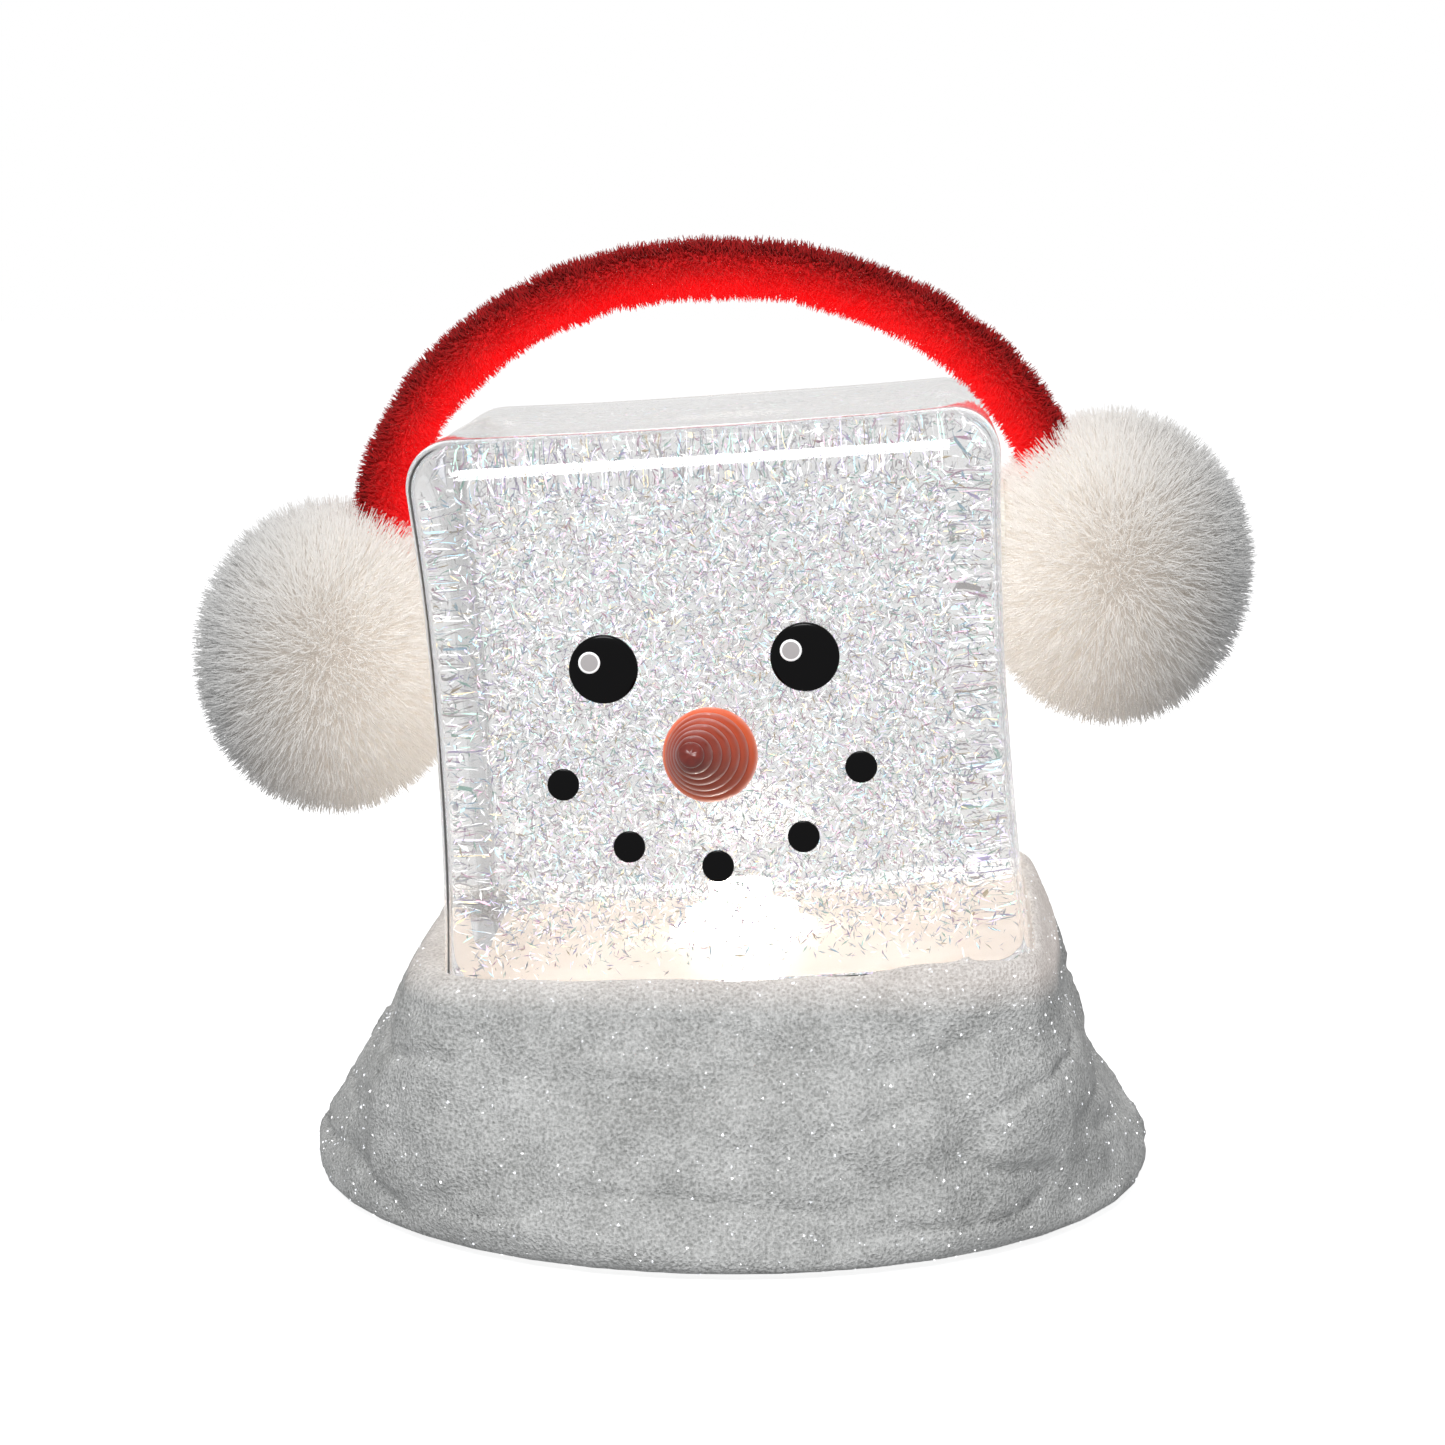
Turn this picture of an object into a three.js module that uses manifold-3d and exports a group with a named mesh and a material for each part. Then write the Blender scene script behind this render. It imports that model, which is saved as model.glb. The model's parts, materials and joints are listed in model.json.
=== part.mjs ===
// A lit tabletop snowman: a leaning ice-cube tank of water and glitter with a painted face and
// plush earmuffs, set in a hollow snow base that holds the cells, a switch, the lights and the
// motor that stirs the water through the tank floor by a magnet.
// Millimetres, +Z up. The front faces -Y. The origin is on the ground, midway between the earmuffs.

import * as THREE from 'three';
import { mergeVertices } from 'three/addons/utils/BufferGeometryUtils.js';
import Module from 'manifold-3d';

const wasm = await Module();
wasm.setup();

// ---- Driving dimensions -------------------------------------------------------------------

const GAP = 0.3; // between pieces that touch, and round whatever slides or turns

// Tank
const TANK_WIDTH = 100;
const TANK_HEIGHT = 98;
const TANK_WALL = 3;
const TANK_CORNER = 9;
const TANK_WAIST = 2; // how far each side draws in at mid-height
const TANK_DISH = 1.5; // how far the top sinks in its middle
const TANK_SEAT = 39; // height of the tank's underside above the ground
const TANK_X = 2.85; // sideways from the base's own axis
const TANK_LEAN = 3.92; // degrees, top to the left
const TANK_TURN = 2.54; // degrees, face to the left
const FLOOR_THICKNESS = 3;
const FLOOR_RECESS = 2; // from the tank's rim up to the floor
const SEAL_WIDTH = 1.4;
const SEAL_HEIGHT = 2.4;
const PLUG_RADIUS = 4;
const PLUG_FLANGE = 1.6; // how far the plug's flange stands out all round
const PLUG_FLANGE_THICKNESS = 1;
const PLUG_OFFSET = 24;

// Stirrer
const HOUSING_RADIUS = 9.9;
const HOUSING_NECK_RADIUS = 5.6;
const HOUSING_FLANGE_RADIUS = 13;
const HOUSING_WALL = 1.2;
const HOUSING_BODY_HEIGHT = 4.5;
const HOUSING_SHOULDER_HEIGHT = 1.5;
const HOUSING_NECK_HEIGHT = 3.2;
const HOUSING_WINDOWS = 4;
const WINDOW_WIDTH = 4;
const WINDOW_HEIGHT = 2;
const PIN_RADIUS = 0.75;
const PIN_STAND = 1; // above the blades
const ROTOR_MAGNET_HEIGHT = 1.4;
const BLADE_COUNT = 4;
const BLADE_HEIGHT = 1.3;
const BLADE_THICKNESS = 0.8;
const ROTOR_DISC_THICKNESS = 0.7;
const ROTOR_HUB_RADIUS = 2;
const ROTOR_HUB_STAND = 0.5; // above the blades

// Face, placed from the tank's underside and its own middle line
const FACE_X = -1.5;
const EYE_HEIGHT = 59;
const EYE_SPACING = 33.2;
const EYE_RADIUS = 5.7;
const EYE_THICKNESS = 0.7;
const EYE_DOME = 0.6;
const SMILE_DOTS = 5;
const SMILE_RADIUS = 27.7;
const SMILE_STEP = 31.5; // degrees between dots
const SMILE_HEIGHT = 25; // of the lowest dot
const DOT_RADIUS = 2.65;
const DOT_THICKNESS = 0.4;
const DOT_DOME = 0.3;
const NOSE_HEIGHT = 43.6;
const NOSE_RADIUS = 7.9;
const NOSE_TIP_RADIUS = 2;
const NOSE_LENGTH = 20;
const NOSE_RINGS = 5;
const NOSE_GROOVE = 0.45;
const NOSE_TILT = 9.4; // degrees upwards
const NOSE_SWING = 5.4; // degrees to the left

// Earmuffs
const EAR_X = -1.8; // the midpoint between the two, from the base's own axis
const POMPOM_STAND = 42.25; // how far each stands out past the tank's side
const POMPOM_THICKNESS = 47;
const POMPOM_HEIGHT = 54;
const EAR_DROP_LEFT = 44.5; // from the tank's top down to the middle of each
const EAR_DROP_RIGHT = 28.6;
const PAD_RADIUS = 9;
const PAD_THICKNESS = 1.2;
const BAND_RADIUS = 4.9;
const BAND_WIRE_RADIUS = 1.4;
const BAND_CLEARANCE = 10; // from the tank's side out to the band's middle line
const BAND_SPRING_DROP = 22; // from the tank's top down to where the band begins to curve
const BAND_HEADROOM = 24; // from the tank's top up to the band's middle line
const CORNER_BEARING = 30; // degrees above level, from the tank's raised corner to the band beside it
const BAND_STRAIGHT = 4; // least length of straight band below the curve
const BAND_BURIAL_LEFT = 12; // how much of each end is inside its pompom
const BAND_BURIAL_RIGHT = 14;

// Snow base
const BASE_RADIUS = 75;
const BASE_LIFT = 1; // the rim stands clear of the ground by this
const BASE_LIP = 2; // how far the foot of the slope tucks in
const BASE_LIP_HEIGHT = 4;
const BASE_WALL = 3;
const BASE_SQUARENESS = 8; // exponent of the outline where it meets the tank
const BANK_WIDTH = 4.6; // of snow beside the tank at the crest
const BANK_COVER = 4.5; // how far the snow climbs up the tank
const BANK_RISE = 7.5; // how much higher it climbs on the right
const BANK_SHOULDER = 2.5; // how far down the crest is rounded over
const DECK_THICKNESS = 2.5;
const BOSS_RADIUS = 4.5;
const BOSS_HEIGHT = 18;
const BOSS_CIRCLE = 64;
const BOSS_ANGLE = 20; // degrees from the left-right line
const BOSS_WEB = 3; // width of the web that ties each boss to the wall
const SCREW_RADIUS = 1.5;
const SCREW_HEAD_RADIUS = 3;
const SCREW_HEAD_HEIGHT = 1.3;
const SCREW_LENGTH = 11;
const PILOT_SPARE = 2; // of hole past a screw's end

// Bottom cover, feet and cells
const PLATE_THICKNESS = 2.5;
const PLATE_RECESS = 0.5; // from the base's rim up to the plate
const FOOT_RADIUS = 6;
const FOOT_CIRCLE = 60;
const CELL_DIAMETER = 14.5;
const CELL_LENGTH = 50.5;
const CELL_COUNT = 3;
const NUB_LENGTH = 1;
const NUB_RADIUS = 2.75;
const CONTACT_SPACE = 3; // for a contact at each end of a cell
const CONTACT_PLATE = 0.5;
const CONTACT_HALF_WIDTH = 4;
const CONTACT_PAD_RADIUS = 2.5;
const COIL_WIRE_RADIUS = 0.35;
const COIL_NARROW_RADIUS = 1.4;
const COIL_TURNS = 2.5;
const TRAY_WALL = 1.2;
const TRAY_FRONT = 11; // from the base's axis back to the tray
const DOOR_THICKNESS = 2;
const DOOR_OVERHANG = 2; // past the end of a cell
const GRIP_COUNT = 5;
const GRIP_PITCH = 3;
const GRIP_LENGTH = 16;
const GRIP_WIDTH = 1;
const GRIP_DEPTH = 0.6;
const HINGE_RADIUS = 1.1;
const HINGE_PIN_RADIUS = 0.5;
const HINGE_BARREL = 8;
const HINGE_PIN_LENGTH = 1.2;
const HINGE_SHOULDER = 1.4; // of plate in front of the pins' middle line
const HINGE_SPREAD = 18;
const DOOR_SCREW_RADIUS = 1.2;
const DOOR_SCREW_LENGTH = 6;
const TAB_X = -18;
const TAB_HALF_WIDTH = 5;
const TAB_LENGTH = 8;
const ANCHOR_WALL = 2;

// Switch, board and leads
const SWITCH_Y = -40;
const SWITCH_LENGTH = 14;
const SWITCH_WIDTH = 7;
const SWITCH_HEIGHT = 5;
const SWITCH_TRAVEL = 2.5; // each way from the middle
const KNOB_LENGTH = 3.6;
const KNOB_WIDTH = 2.6;
const KNOB_GROOVE = 0.4;
const BOARD_LENGTH = 32;
const BOARD_WIDTH = 20;
const BOARD_THICKNESS = 1.6;
const POST_RADIUS = 2;
const POST_INSET = 3; // from the board's end
const CHIP_LENGTH = 7;
const CHIP_HEIGHT = 1.5;
const LEAD_RADIUS = 0.8;
const LEAD_X = 21;

// Motor, drive magnets and lights, measured along the tank's own axis
const MOTOR_RADIUS = 7.8;
const MOTOR_LENGTH = 20;
const SHAFT_RADIUS = 1;
const SHAFT_SOCKET = 4; // how deep the shaft sits in the motor
const SHAFT_COVER = 1; // of carrier over the shaft's end
const CARRIER_RADIUS = 9;
const CARRIER_HEIGHT = 4.7;
const CARRIER_TOP = -0.8;
const DRIVE_MAGNET_RADIUS = 2.5;
const DRIVE_MAGNET_HEIGHT = 3.5;
const DRIVE_MAGNET_CIRCLE = 5.2;
const LIGHT_BOARD_RADIUS = 15.3;
const LIGHT_BOARD_THICKNESS = 1.2;
const LED_RADIUS = 2.2;
const LED_HEIGHT = 3.3;
const LED_CIRCLE = 12.9;
const BRACKET_WALL = 1.7;
const BRACKET_FOOT = 5; // from the motor's end up to the bracket
const BRACKET_FLANGE_RADIUS = 22.5;
const BRACKET_FLANGE_THICKNESS = 2;
const BRACKET_SCREW_CIRCLE = 19.4;
const BRACKET_SCREW_BITE = 0.5; // left between its end and the deck's top

// ---- Sizes that follow from those ----------------------------------------------------------

const tankHalf = TANK_WIDTH / 2;
const floorTop = FLOOR_RECESS + FLOOR_THICKNESS;
const tankTop = TANK_SEAT + TANK_HEIGHT;
const housingFoot = floorTop + GAP;
const bankCrest = TANK_SEAT + BANK_COVER;
const leanDrop = tankHalf * Math.sin(THREE.MathUtils.degToRad(TANK_LEAN));
const belowDeck = -DECK_THICKNESS - 3 * leanDrop; // clear of the deck's underside right across the tank
const deckUnderside = TANK_SEAT - leanDrop - GAP - DECK_THICKNESS;
const plateBottom = BASE_LIFT + PLATE_RECESS;
const plateTop = plateBottom + PLATE_THICKNESS;
const plateRadius = BASE_RADIUS - BASE_LIP - BASE_WALL - GAP;
const cellPitch = CELL_DIAMETER + GAP;
const bayFront = TRAY_FRONT + TRAY_WALL;
const bayDepth = CELL_COUNT * cellPitch + GAP;
const bayHalf = CELL_LENGTH / 2 + CONTACT_SPACE;
const cellHeight = plateTop + 2 * GAP + CELL_DIAMETER / 2;
const doorHalf = CELL_LENGTH / 2 + DOOR_OVERHANG;
const doorFront = bayFront + GAP;
const doorBack = bayFront + bayDepth - GAP;
const doorSwing = Math.hypot(HINGE_SHOULDER, PLATE_THICKNESS / 2) + GAP; // keeps the door off the plate
const hingeY = doorBack + doorSwing;
const hingeZ = plateBottom + PLATE_THICKNESS / 2;
const tabFront = doorFront - TAB_LENGTH;
const doorScrewY = tabFront + TAB_HALF_WIDTH - 1;
const doorTop = plateBottom + DOOR_THICKNESS;
const boardBottom = plateTop + GAP + SWITCH_HEIGHT + GAP;
const lightBoardTop = CARRIER_TOP - LIGHT_BOARD_THICKNESS - GAP;
const lightBoardBottom = lightBoardTop - LIGHT_BOARD_THICKNESS;
const motorTop = CARRIER_TOP - CARRIER_HEIGHT - LED_HEIGHT;
const pompomX = tankHalf + POMPOM_STAND - POMPOM_THICKNESS / 2;

// ---- Finishes ------------------------------------------------------------------------------

const FINISH = {
  clear: { color: 0xeef4f6, roughness: 0.05, metalness: 0, transparent: true, opacity: 0.35 },
  water: { color: 0xdfe9ee, roughness: 0.02, metalness: 0, transparent: true, opacity: 0.3 },
  rubber: { color: 0x2c2c2e, roughness: 0.8, metalness: 0 },
  black: { color: 0x050505, roughness: 0.12, metalness: 0 },
  carrot: { color: 0xd2481c, roughness: 0.3, metalness: 0 },
  plush: { color: 0xc30d12, roughness: 0.95, metalness: 0 },
  fur: { color: 0xf1efea, roughness: 0.95, metalness: 0 },
  glue: { color: 0xe9e6da, roughness: 0.5, metalness: 0 },
  snow: { color: 0xd9dada, roughness: 0.85, metalness: 0 },
  white: { color: 0xe6e6e2, roughness: 0.45, metalness: 0 },
  foam: { color: 0x3a3a3a, roughness: 0.9, metalness: 0 },
  steel: { color: 0xb4b6b8, roughness: 0.3, metalness: 1 },
  nickel: { color: 0xc9c5bb, roughness: 0.25, metalness: 1 },
  cell: { color: 0x2f5a8c, roughness: 0.35, metalness: 0.2 },
  board: { color: 0x1d6b3a, roughness: 0.45, metalness: 0 },
  lamp: { color: 0xfff1d0, roughness: 0.15, metalness: 0 },
  redLead: { color: 0xb5161a, roughness: 0.5, metalness: 0 },
  blackLead: { color: 0x151515, roughness: 0.5, metalness: 0 },
};

// ---- Making solids -------------------------------------------------------------------------

const radians = THREE.MathUtils.degToRad;

function toSolid(geometry) {
  const bare = geometry.clone();
  bare.deleteAttribute('normal');
  bare.deleteAttribute('uv');
  const merged = mergeVertices(bare, 1e-4);
  const mesh = new wasm.Mesh({
    numProp: 3,
    vertProperties: Float32Array.from(merged.attributes.position.array),
    triVerts: Uint32Array.from(merged.index.array),
  });
  return new wasm.Manifold(mesh);
}

function toGeometry(solid) {
  const mesh = solid.getMesh();
  const geometry = new THREE.BufferGeometry();
  const positions = new THREE.BufferAttribute(Float32Array.from(mesh.vertProperties), 3);
  geometry.setAttribute('position', positions);
  geometry.setIndex(new THREE.BufferAttribute(Uint32Array.from(mesh.triVerts), 1));
  geometry.computeVertexNormals();
  return geometry;
}

function cut(body, ...tools) {
  return toGeometry(tools.reduce((rest, tool) => rest.subtract(toSolid(tool)), toSolid(body)));
}

function join(first, ...others) {
  return toGeometry(others.reduce((sum, other) => sum.add(toSolid(other)), toSolid(first)));
}

function common(first, second) {
  return toGeometry(toSolid(first).intersect(toSolid(second)));
}

function rod(radius, bottom, top, sides = 20) {
  const geometry = new THREE.CylinderGeometry(radius, radius, top - bottom, sides);
  return geometry.rotateX(Math.PI / 2).translate(0, 0, (bottom + top) / 2);
}

function rodAlongX(radius, from, to, sides = 16) {
  const geometry = new THREE.CylinderGeometry(radius, radius, Math.abs(to - from), sides);
  return geometry.rotateZ(Math.PI / 2).translate((from + to) / 2, 0, 0);
}

function block(x, y, z) {
  const geometry = new THREE.BoxGeometry(x[1] - x[0], y[1] - y[0], z[1] - z[0]);
  return geometry.translate((x[0] + x[1]) / 2, (y[0] + y[1]) / 2, (z[0] + z[1]) / 2);
}

// A turned solid about Z from [radius, height] points, bottom first and anticlockwise.
function turned(points, sides = 24) {
  const outline = points.map(([radius, height]) => new THREE.Vector2(radius, height));
  return new THREE.LatheGeometry(outline, sides).rotateX(Math.PI / 2);
}

function roundedSquare(half, radius) {
  const inner = half - radius;
  const shape = new THREE.Shape();
  shape.absarc(inner, -inner, radius, -Math.PI / 2, 0);
  shape.absarc(inner, inner, radius, 0, Math.PI / 2);
  shape.absarc(-inner, inner, radius, Math.PI / 2, Math.PI);
  shape.absarc(-inner, -inner, radius, Math.PI, 1.5 * Math.PI);
  return shape;
}

function slab(shape, bottom, top, curveSegments = 4) {
  const options = { depth: top - bottom, bevelEnabled: false, curveSegments };
  return new THREE.ExtrudeGeometry(shape, options).translate(0, 0, bottom);
}

function moved(geometry, x, y, z = 0) {
  return geometry.translate(x, y, z);
}

function reshape(geometry, change) {
  const position = geometry.attributes.position;
  const point = new THREE.Vector3();
  for (let i = 0; i < position.count; i += 1) {
    change(point.fromBufferAttribute(position, i));
    position.setXYZ(i, point.x, point.y, point.z);
  }
  return geometry;
}

function piece(group, name, geometry, finish) {
  const mesh = new THREE.Mesh(geometry, new THREE.MeshStandardMaterial(FINISH[finish]));
  mesh.name = name;
  group.add(mesh);
  return mesh;
}

// ---- Groups: everything, then the tank and its drive in their own leaning frame -------------

const snowman = new THREE.Group();
const base = new THREE.Group();
base.position.x = -EAR_X;
snowman.add(base);

const lean = new THREE.Group();
lean.position.set(TANK_X, 0, TANK_SEAT);
lean.rotation.y = -radians(TANK_LEAN);
base.add(lean);

const tank = new THREE.Group();
tank.rotation.z = -radians(TANK_TURN);
lean.add(tank);
snowman.updateMatrixWorld(true);

const tankInBase = base.matrixWorld.clone().invert().multiply(tank.matrixWorld);

// The same solid, carried from the tank's frame into the base's.
function fromTank(geometry) {
  return geometry.clone().applyMatrix4(tankInBase);
}

// ---- Tank ----------------------------------------------------------------------------------

const EDGE_STEPS = 2;
const FACE_STEPS = 4;
const BELOW = 2 * TANK_CORNER + TANK_SEAT; // how deep a block runs on under the tank

// How far the walls draw in at a height above the tank's underside.
function waistAt(height) {
  const middle = TANK_HEIGHT / 2;
  const share = THREE.MathUtils.clamp((height - middle) / middle, -1, 1);
  return TANK_WAIST * (1 - share * share);
}

// The ice-cube form, every face moved in by inset, running on below the tank's underside.
function iceBlock(inset) {
  const steps = 2 * EDGE_STEPS + FACE_STEPS;
  const half = tankHalf - inset;
  const radius = TANK_CORNER - inset;
  const top = TANK_HEIGHT - inset;
  const middle = (top - 2 * TANK_CORNER) / 2;
  const size = new THREE.Vector3(half, half, top - middle);
  const core = size.clone().subScalar(radius);

  // A box's grid line becomes a line that rounds evenly once it is pushed out to the radius.
  const gridLine = (share, reach) => {
    const step = Math.round((share + 1) * steps / 2);
    const fromEnd = Math.min(step, steps - step);
    if (fromEnd >= EDGE_STEPS) {
      return reach * (2 * (step - EDGE_STEPS) / FACE_STEPS - 1);
    }
    return Math.sign(share) * (reach + radius * Math.tan((1 - fromEnd / EDGE_STEPS) * Math.PI / 4));
  };

  return reshape(new THREE.BoxGeometry(2, 2, 2, steps, steps, steps), (point) => {
    point.set(gridLine(point.x, core.x), gridLine(point.y, core.y), gridLine(point.z, core.z));
    const nearest = point.clone().clamp(core.clone().negate(), core);
    point.sub(nearest).setLength(radius).add(nearest);
    const height = point.z + middle;
    const crown = THREE.MathUtils.clamp((height - top + radius) / radius, 0, 1);
    const dish = TANK_DISH * crown * (1 - (point.x / half) ** 2) * (1 - (point.y / half) ** 2);
    const narrowing = 1 - waistAt(height) / half;
    point.set(point.x * narrowing, point.y * narrowing, height - dish);
  });
}

// The same form with a flat underside at a given height.
function iceForm(inset, underside) {
  const wide = [-TANK_WIDTH, TANK_WIDTH];
  return cut(iceBlock(inset), block(wide, wide, [-BELOW, underside]));
}

function makeTank() {
  piece(tank, 'tank_shell', cut(iceForm(0, 0), iceBlock(TANK_WALL)), 'clear');

  const boreHalf = tankHalf - TANK_WALL - waistAt(floorTop);
  const boreRadius = TANK_CORNER - TANK_WALL + 4 * GAP; // clear of the corner facets
  const sealOuter = boreHalf - GAP;
  const sealInner = sealOuter - SEAL_WIDTH;
  const floorHalf = sealInner - GAP;
  const pinHole = rod(PIN_RADIUS + GAP, FLOOR_RECESS + FLOOR_THICKNESS / 3, floorTop + 1, 16);
  const plugHole = moved(rod(PLUG_RADIUS + GAP, 0, floorTop + 1), PLUG_OFFSET, PLUG_OFFSET);
  const plate = slab(roundedSquare(floorHalf, boreRadius), FLOOR_RECESS, floorTop);
  piece(tank, 'tank_floor', cut(plate, pinHole, plugHole), 'clear');

  const ring = roundedSquare(sealOuter, boreRadius);
  ring.holes.push(roundedSquare(sealInner, boreRadius));
  piece(tank, 'tank_seal', slab(ring, FLOOR_RECESS + GAP, FLOOR_RECESS + GAP + SEAL_HEIGHT), 'rubber');

  const flangeTop = FLOOR_RECESS - GAP;
  const flangeBottom = flangeTop - PLUG_FLANGE_THICKNESS;
  const flange = rod(PLUG_RADIUS + PLUG_FLANGE, flangeBottom, flangeTop);
  const plug = join(flange, rod(PLUG_RADIUS, flangeBottom + GAP, floorTop - GAP));
  piece(tank, 'fill_plug', moved(plug, PLUG_OFFSET, PLUG_OFFSET), 'rubber');

  const water = iceForm(TANK_WALL + GAP, floorTop + GAP);
  piece(tank, 'water_fill', cut(water, turned(housingOutline(GAP))), 'water');
}

// ---- Stirrer -------------------------------------------------------------------------------

// The clear cap over the stirrer as [radius, height] points, grown all round by a clearance.
function housingOutline(grow) {
  const bodyTop = housingFoot + HOUSING_BODY_HEIGHT;
  const neckFoot = bodyTop + HOUSING_SHOULDER_HEIGHT;
  const neckTop = neckFoot + HOUSING_NECK_HEIGHT;
  return [
    [0, housingFoot - grow],
    [HOUSING_FLANGE_RADIUS + grow, housingFoot - grow],
    [HOUSING_FLANGE_RADIUS + grow, housingFoot + HOUSING_WALL + grow],
    [HOUSING_RADIUS + grow, housingFoot + HOUSING_WALL + grow],
    [HOUSING_RADIUS + grow, bodyTop + grow / 2],
    [HOUSING_NECK_RADIUS + grow, neckFoot + grow / 2],
    [HOUSING_NECK_RADIUS + grow, neckTop + grow],
    [0, neckTop + grow],
  ];
}

function makeStirrer() {
  const bodyTop = housingFoot + HOUSING_BODY_HEIGHT;
  const neckFoot = bodyTop + HOUSING_SHOULDER_HEIGHT;
  const neckTop = neckFoot + HOUSING_NECK_HEIGHT;
  const chamberRadius = HOUSING_RADIUS - HOUSING_WALL;
  const throatRadius = HOUSING_NECK_RADIUS - HOUSING_WALL;
  const chamber = turned([
    [0, housingFoot - 1],
    [chamberRadius, housingFoot - 1],
    [chamberRadius, bodyTop - HOUSING_WALL / 2],
    [throatRadius, neckFoot - HOUSING_WALL / 2],
    [throatRadius, neckTop + 1],
    [0, neckTop + 1],
  ]);
  const windowBottom = housingFoot + HOUSING_WALL + GAP;
  const windows = [];
  for (let i = 0; i < HOUSING_WINDOWS; i += 1) {
    const reach = [chamberRadius / 2, HOUSING_RADIUS + 1];
    const across = [-WINDOW_WIDTH / 2, WINDOW_WIDTH / 2];
    const window = block(reach, across, [windowBottom, windowBottom + WINDOW_HEIGHT]);
    windows.push(window.rotateZ((i + 0.5) * 2 * Math.PI / HOUSING_WINDOWS));
  }
  piece(tank, 'impeller_housing', cut(turned(housingOutline(0)), chamber, ...windows), 'clear');

  const magnetBottom = floorTop + GAP;
  const discBottom = magnetBottom + ROTOR_MAGNET_HEIGHT + GAP;
  const bladeBottom = discBottom + ROTOR_DISC_THICKNESS;
  const bladeTop = bladeBottom + BLADE_HEIGHT;
  const bladeRadius = chamberRadius - 4 * GAP;
  const pieces = [rod(bladeRadius, discBottom, bladeBottom)];
  for (let i = 0; i < BLADE_COUNT; i += 1) {
    const halfBlade = BLADE_THICKNESS / 2;
    const blade = block([0, bladeRadius - GAP], [-halfBlade, halfBlade], [discBottom, bladeTop]);
    pieces.push(blade.rotateZ(i * 2 * Math.PI / BLADE_COUNT));
  }
  const hub = rod(ROTOR_HUB_RADIUS, magnetBottom, bladeTop + ROTOR_HUB_STAND, 16);
  const bore = rod(PIN_RADIUS + GAP, 0, bladeTop + 1, 16);
  piece(tank, 'impeller', cut(join(hub, ...pieces), bore), 'white');

  const ring = rod(bladeRadius - 1, magnetBottom, magnetBottom + ROTOR_MAGNET_HEIGHT);
  const ringBore = rod(ROTOR_HUB_RADIUS + GAP, 0, discBottom, 16);
  piece(tank, 'impeller_magnet', cut(ring, ringBore), 'nickel');

  const pinFoot = FLOOR_RECESS + FLOOR_THICKNESS / 3 + GAP;
  piece(tank, 'impeller_pin', rod(PIN_RADIUS, pinFoot, bladeTop + PIN_STAND, 16), 'steel');
}

// ---- Face ----------------------------------------------------------------------------------

// A button on the tank's front: a short cylinder with a domed face, looking along -Y.
function button(radius, thickness, dome, sides) {
  const rings = 2;
  const points = [[0, 0], [radius, 0]];
  for (let i = 0; i <= rings; i += 1) {
    const angle = i * Math.PI / 2 / rings;
    points.push([radius * Math.cos(angle), thickness + dome * Math.sin(angle)]);
  }
  points[points.length - 1][0] = 0;
  return turned(points, sides).rotateX(Math.PI / 2);
}

function placeOnFront(mesh, x, height) {
  mesh.position.set(x, -(tankHalf - waistAt(height)) - GAP, height);
}

function makeFace() {
  ['left', 'right'].forEach((side, i) => {
    const eye = button(EYE_RADIUS, EYE_THICKNESS, EYE_DOME, 24);
    const x = FACE_X + (i - 0.5) * EYE_SPACING;
    placeOnFront(piece(tank, `eye_${side}`, eye, 'black'), x, EYE_HEIGHT);
  });

  for (let i = 0; i < SMILE_DOTS; i += 1) {
    const dot = button(DOT_RADIUS, DOT_THICKNESS, DOT_DOME, 14);
    const angle = radians((i - (SMILE_DOTS - 1) / 2) * SMILE_STEP);
    const x = FACE_X + SMILE_RADIUS * Math.sin(angle);
    const height = SMILE_HEIGHT + SMILE_RADIUS * (1 - Math.cos(angle));
    placeOnFront(piece(tank, `mouth_dot_${i + 1}`, dot, 'black'), x, height);
  }

  const root = NOSE_RADIUS; // runs back into the tank's front, where it is cut off
  const ringLength = NOSE_LENGTH / NOSE_RINGS;
  const points = [[0, -root], [NOSE_RADIUS, -root]];
  for (let i = 0; i < NOSE_RINGS; i += 1) {
    const radius = THREE.MathUtils.lerp(NOSE_RADIUS, NOSE_TIP_RADIUS, i / NOSE_RINGS);
    points.push([radius, (i + 0.1) * ringLength]);
    points.push([radius - NOSE_GROOVE / 2, (i + 0.75) * ringLength]);
    points.push([radius - 2 * NOSE_GROOVE, (i + 0.95) * ringLength]);
  }
  points.push([NOSE_TIP_RADIUS * 0.7, NOSE_LENGTH + NOSE_TIP_RADIUS * 0.6]);
  points.push([0, NOSE_LENGTH + NOSE_TIP_RADIUS]);
  const carrot = turned(points, 20).rotateX(Math.PI / 2);
  carrot.rotateX(-radians(NOSE_TILT)).rotateZ(-radians(NOSE_SWING));
  carrot.translate(FACE_X, -(tankHalf - waistAt(NOSE_HEIGHT)), NOSE_HEIGHT);
  piece(tank, 'carrot_nose', cut(carrot, iceForm(-GAP, 0)), 'carrot');
}

// ---- Earmuffs ------------------------------------------------------------------------------

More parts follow.
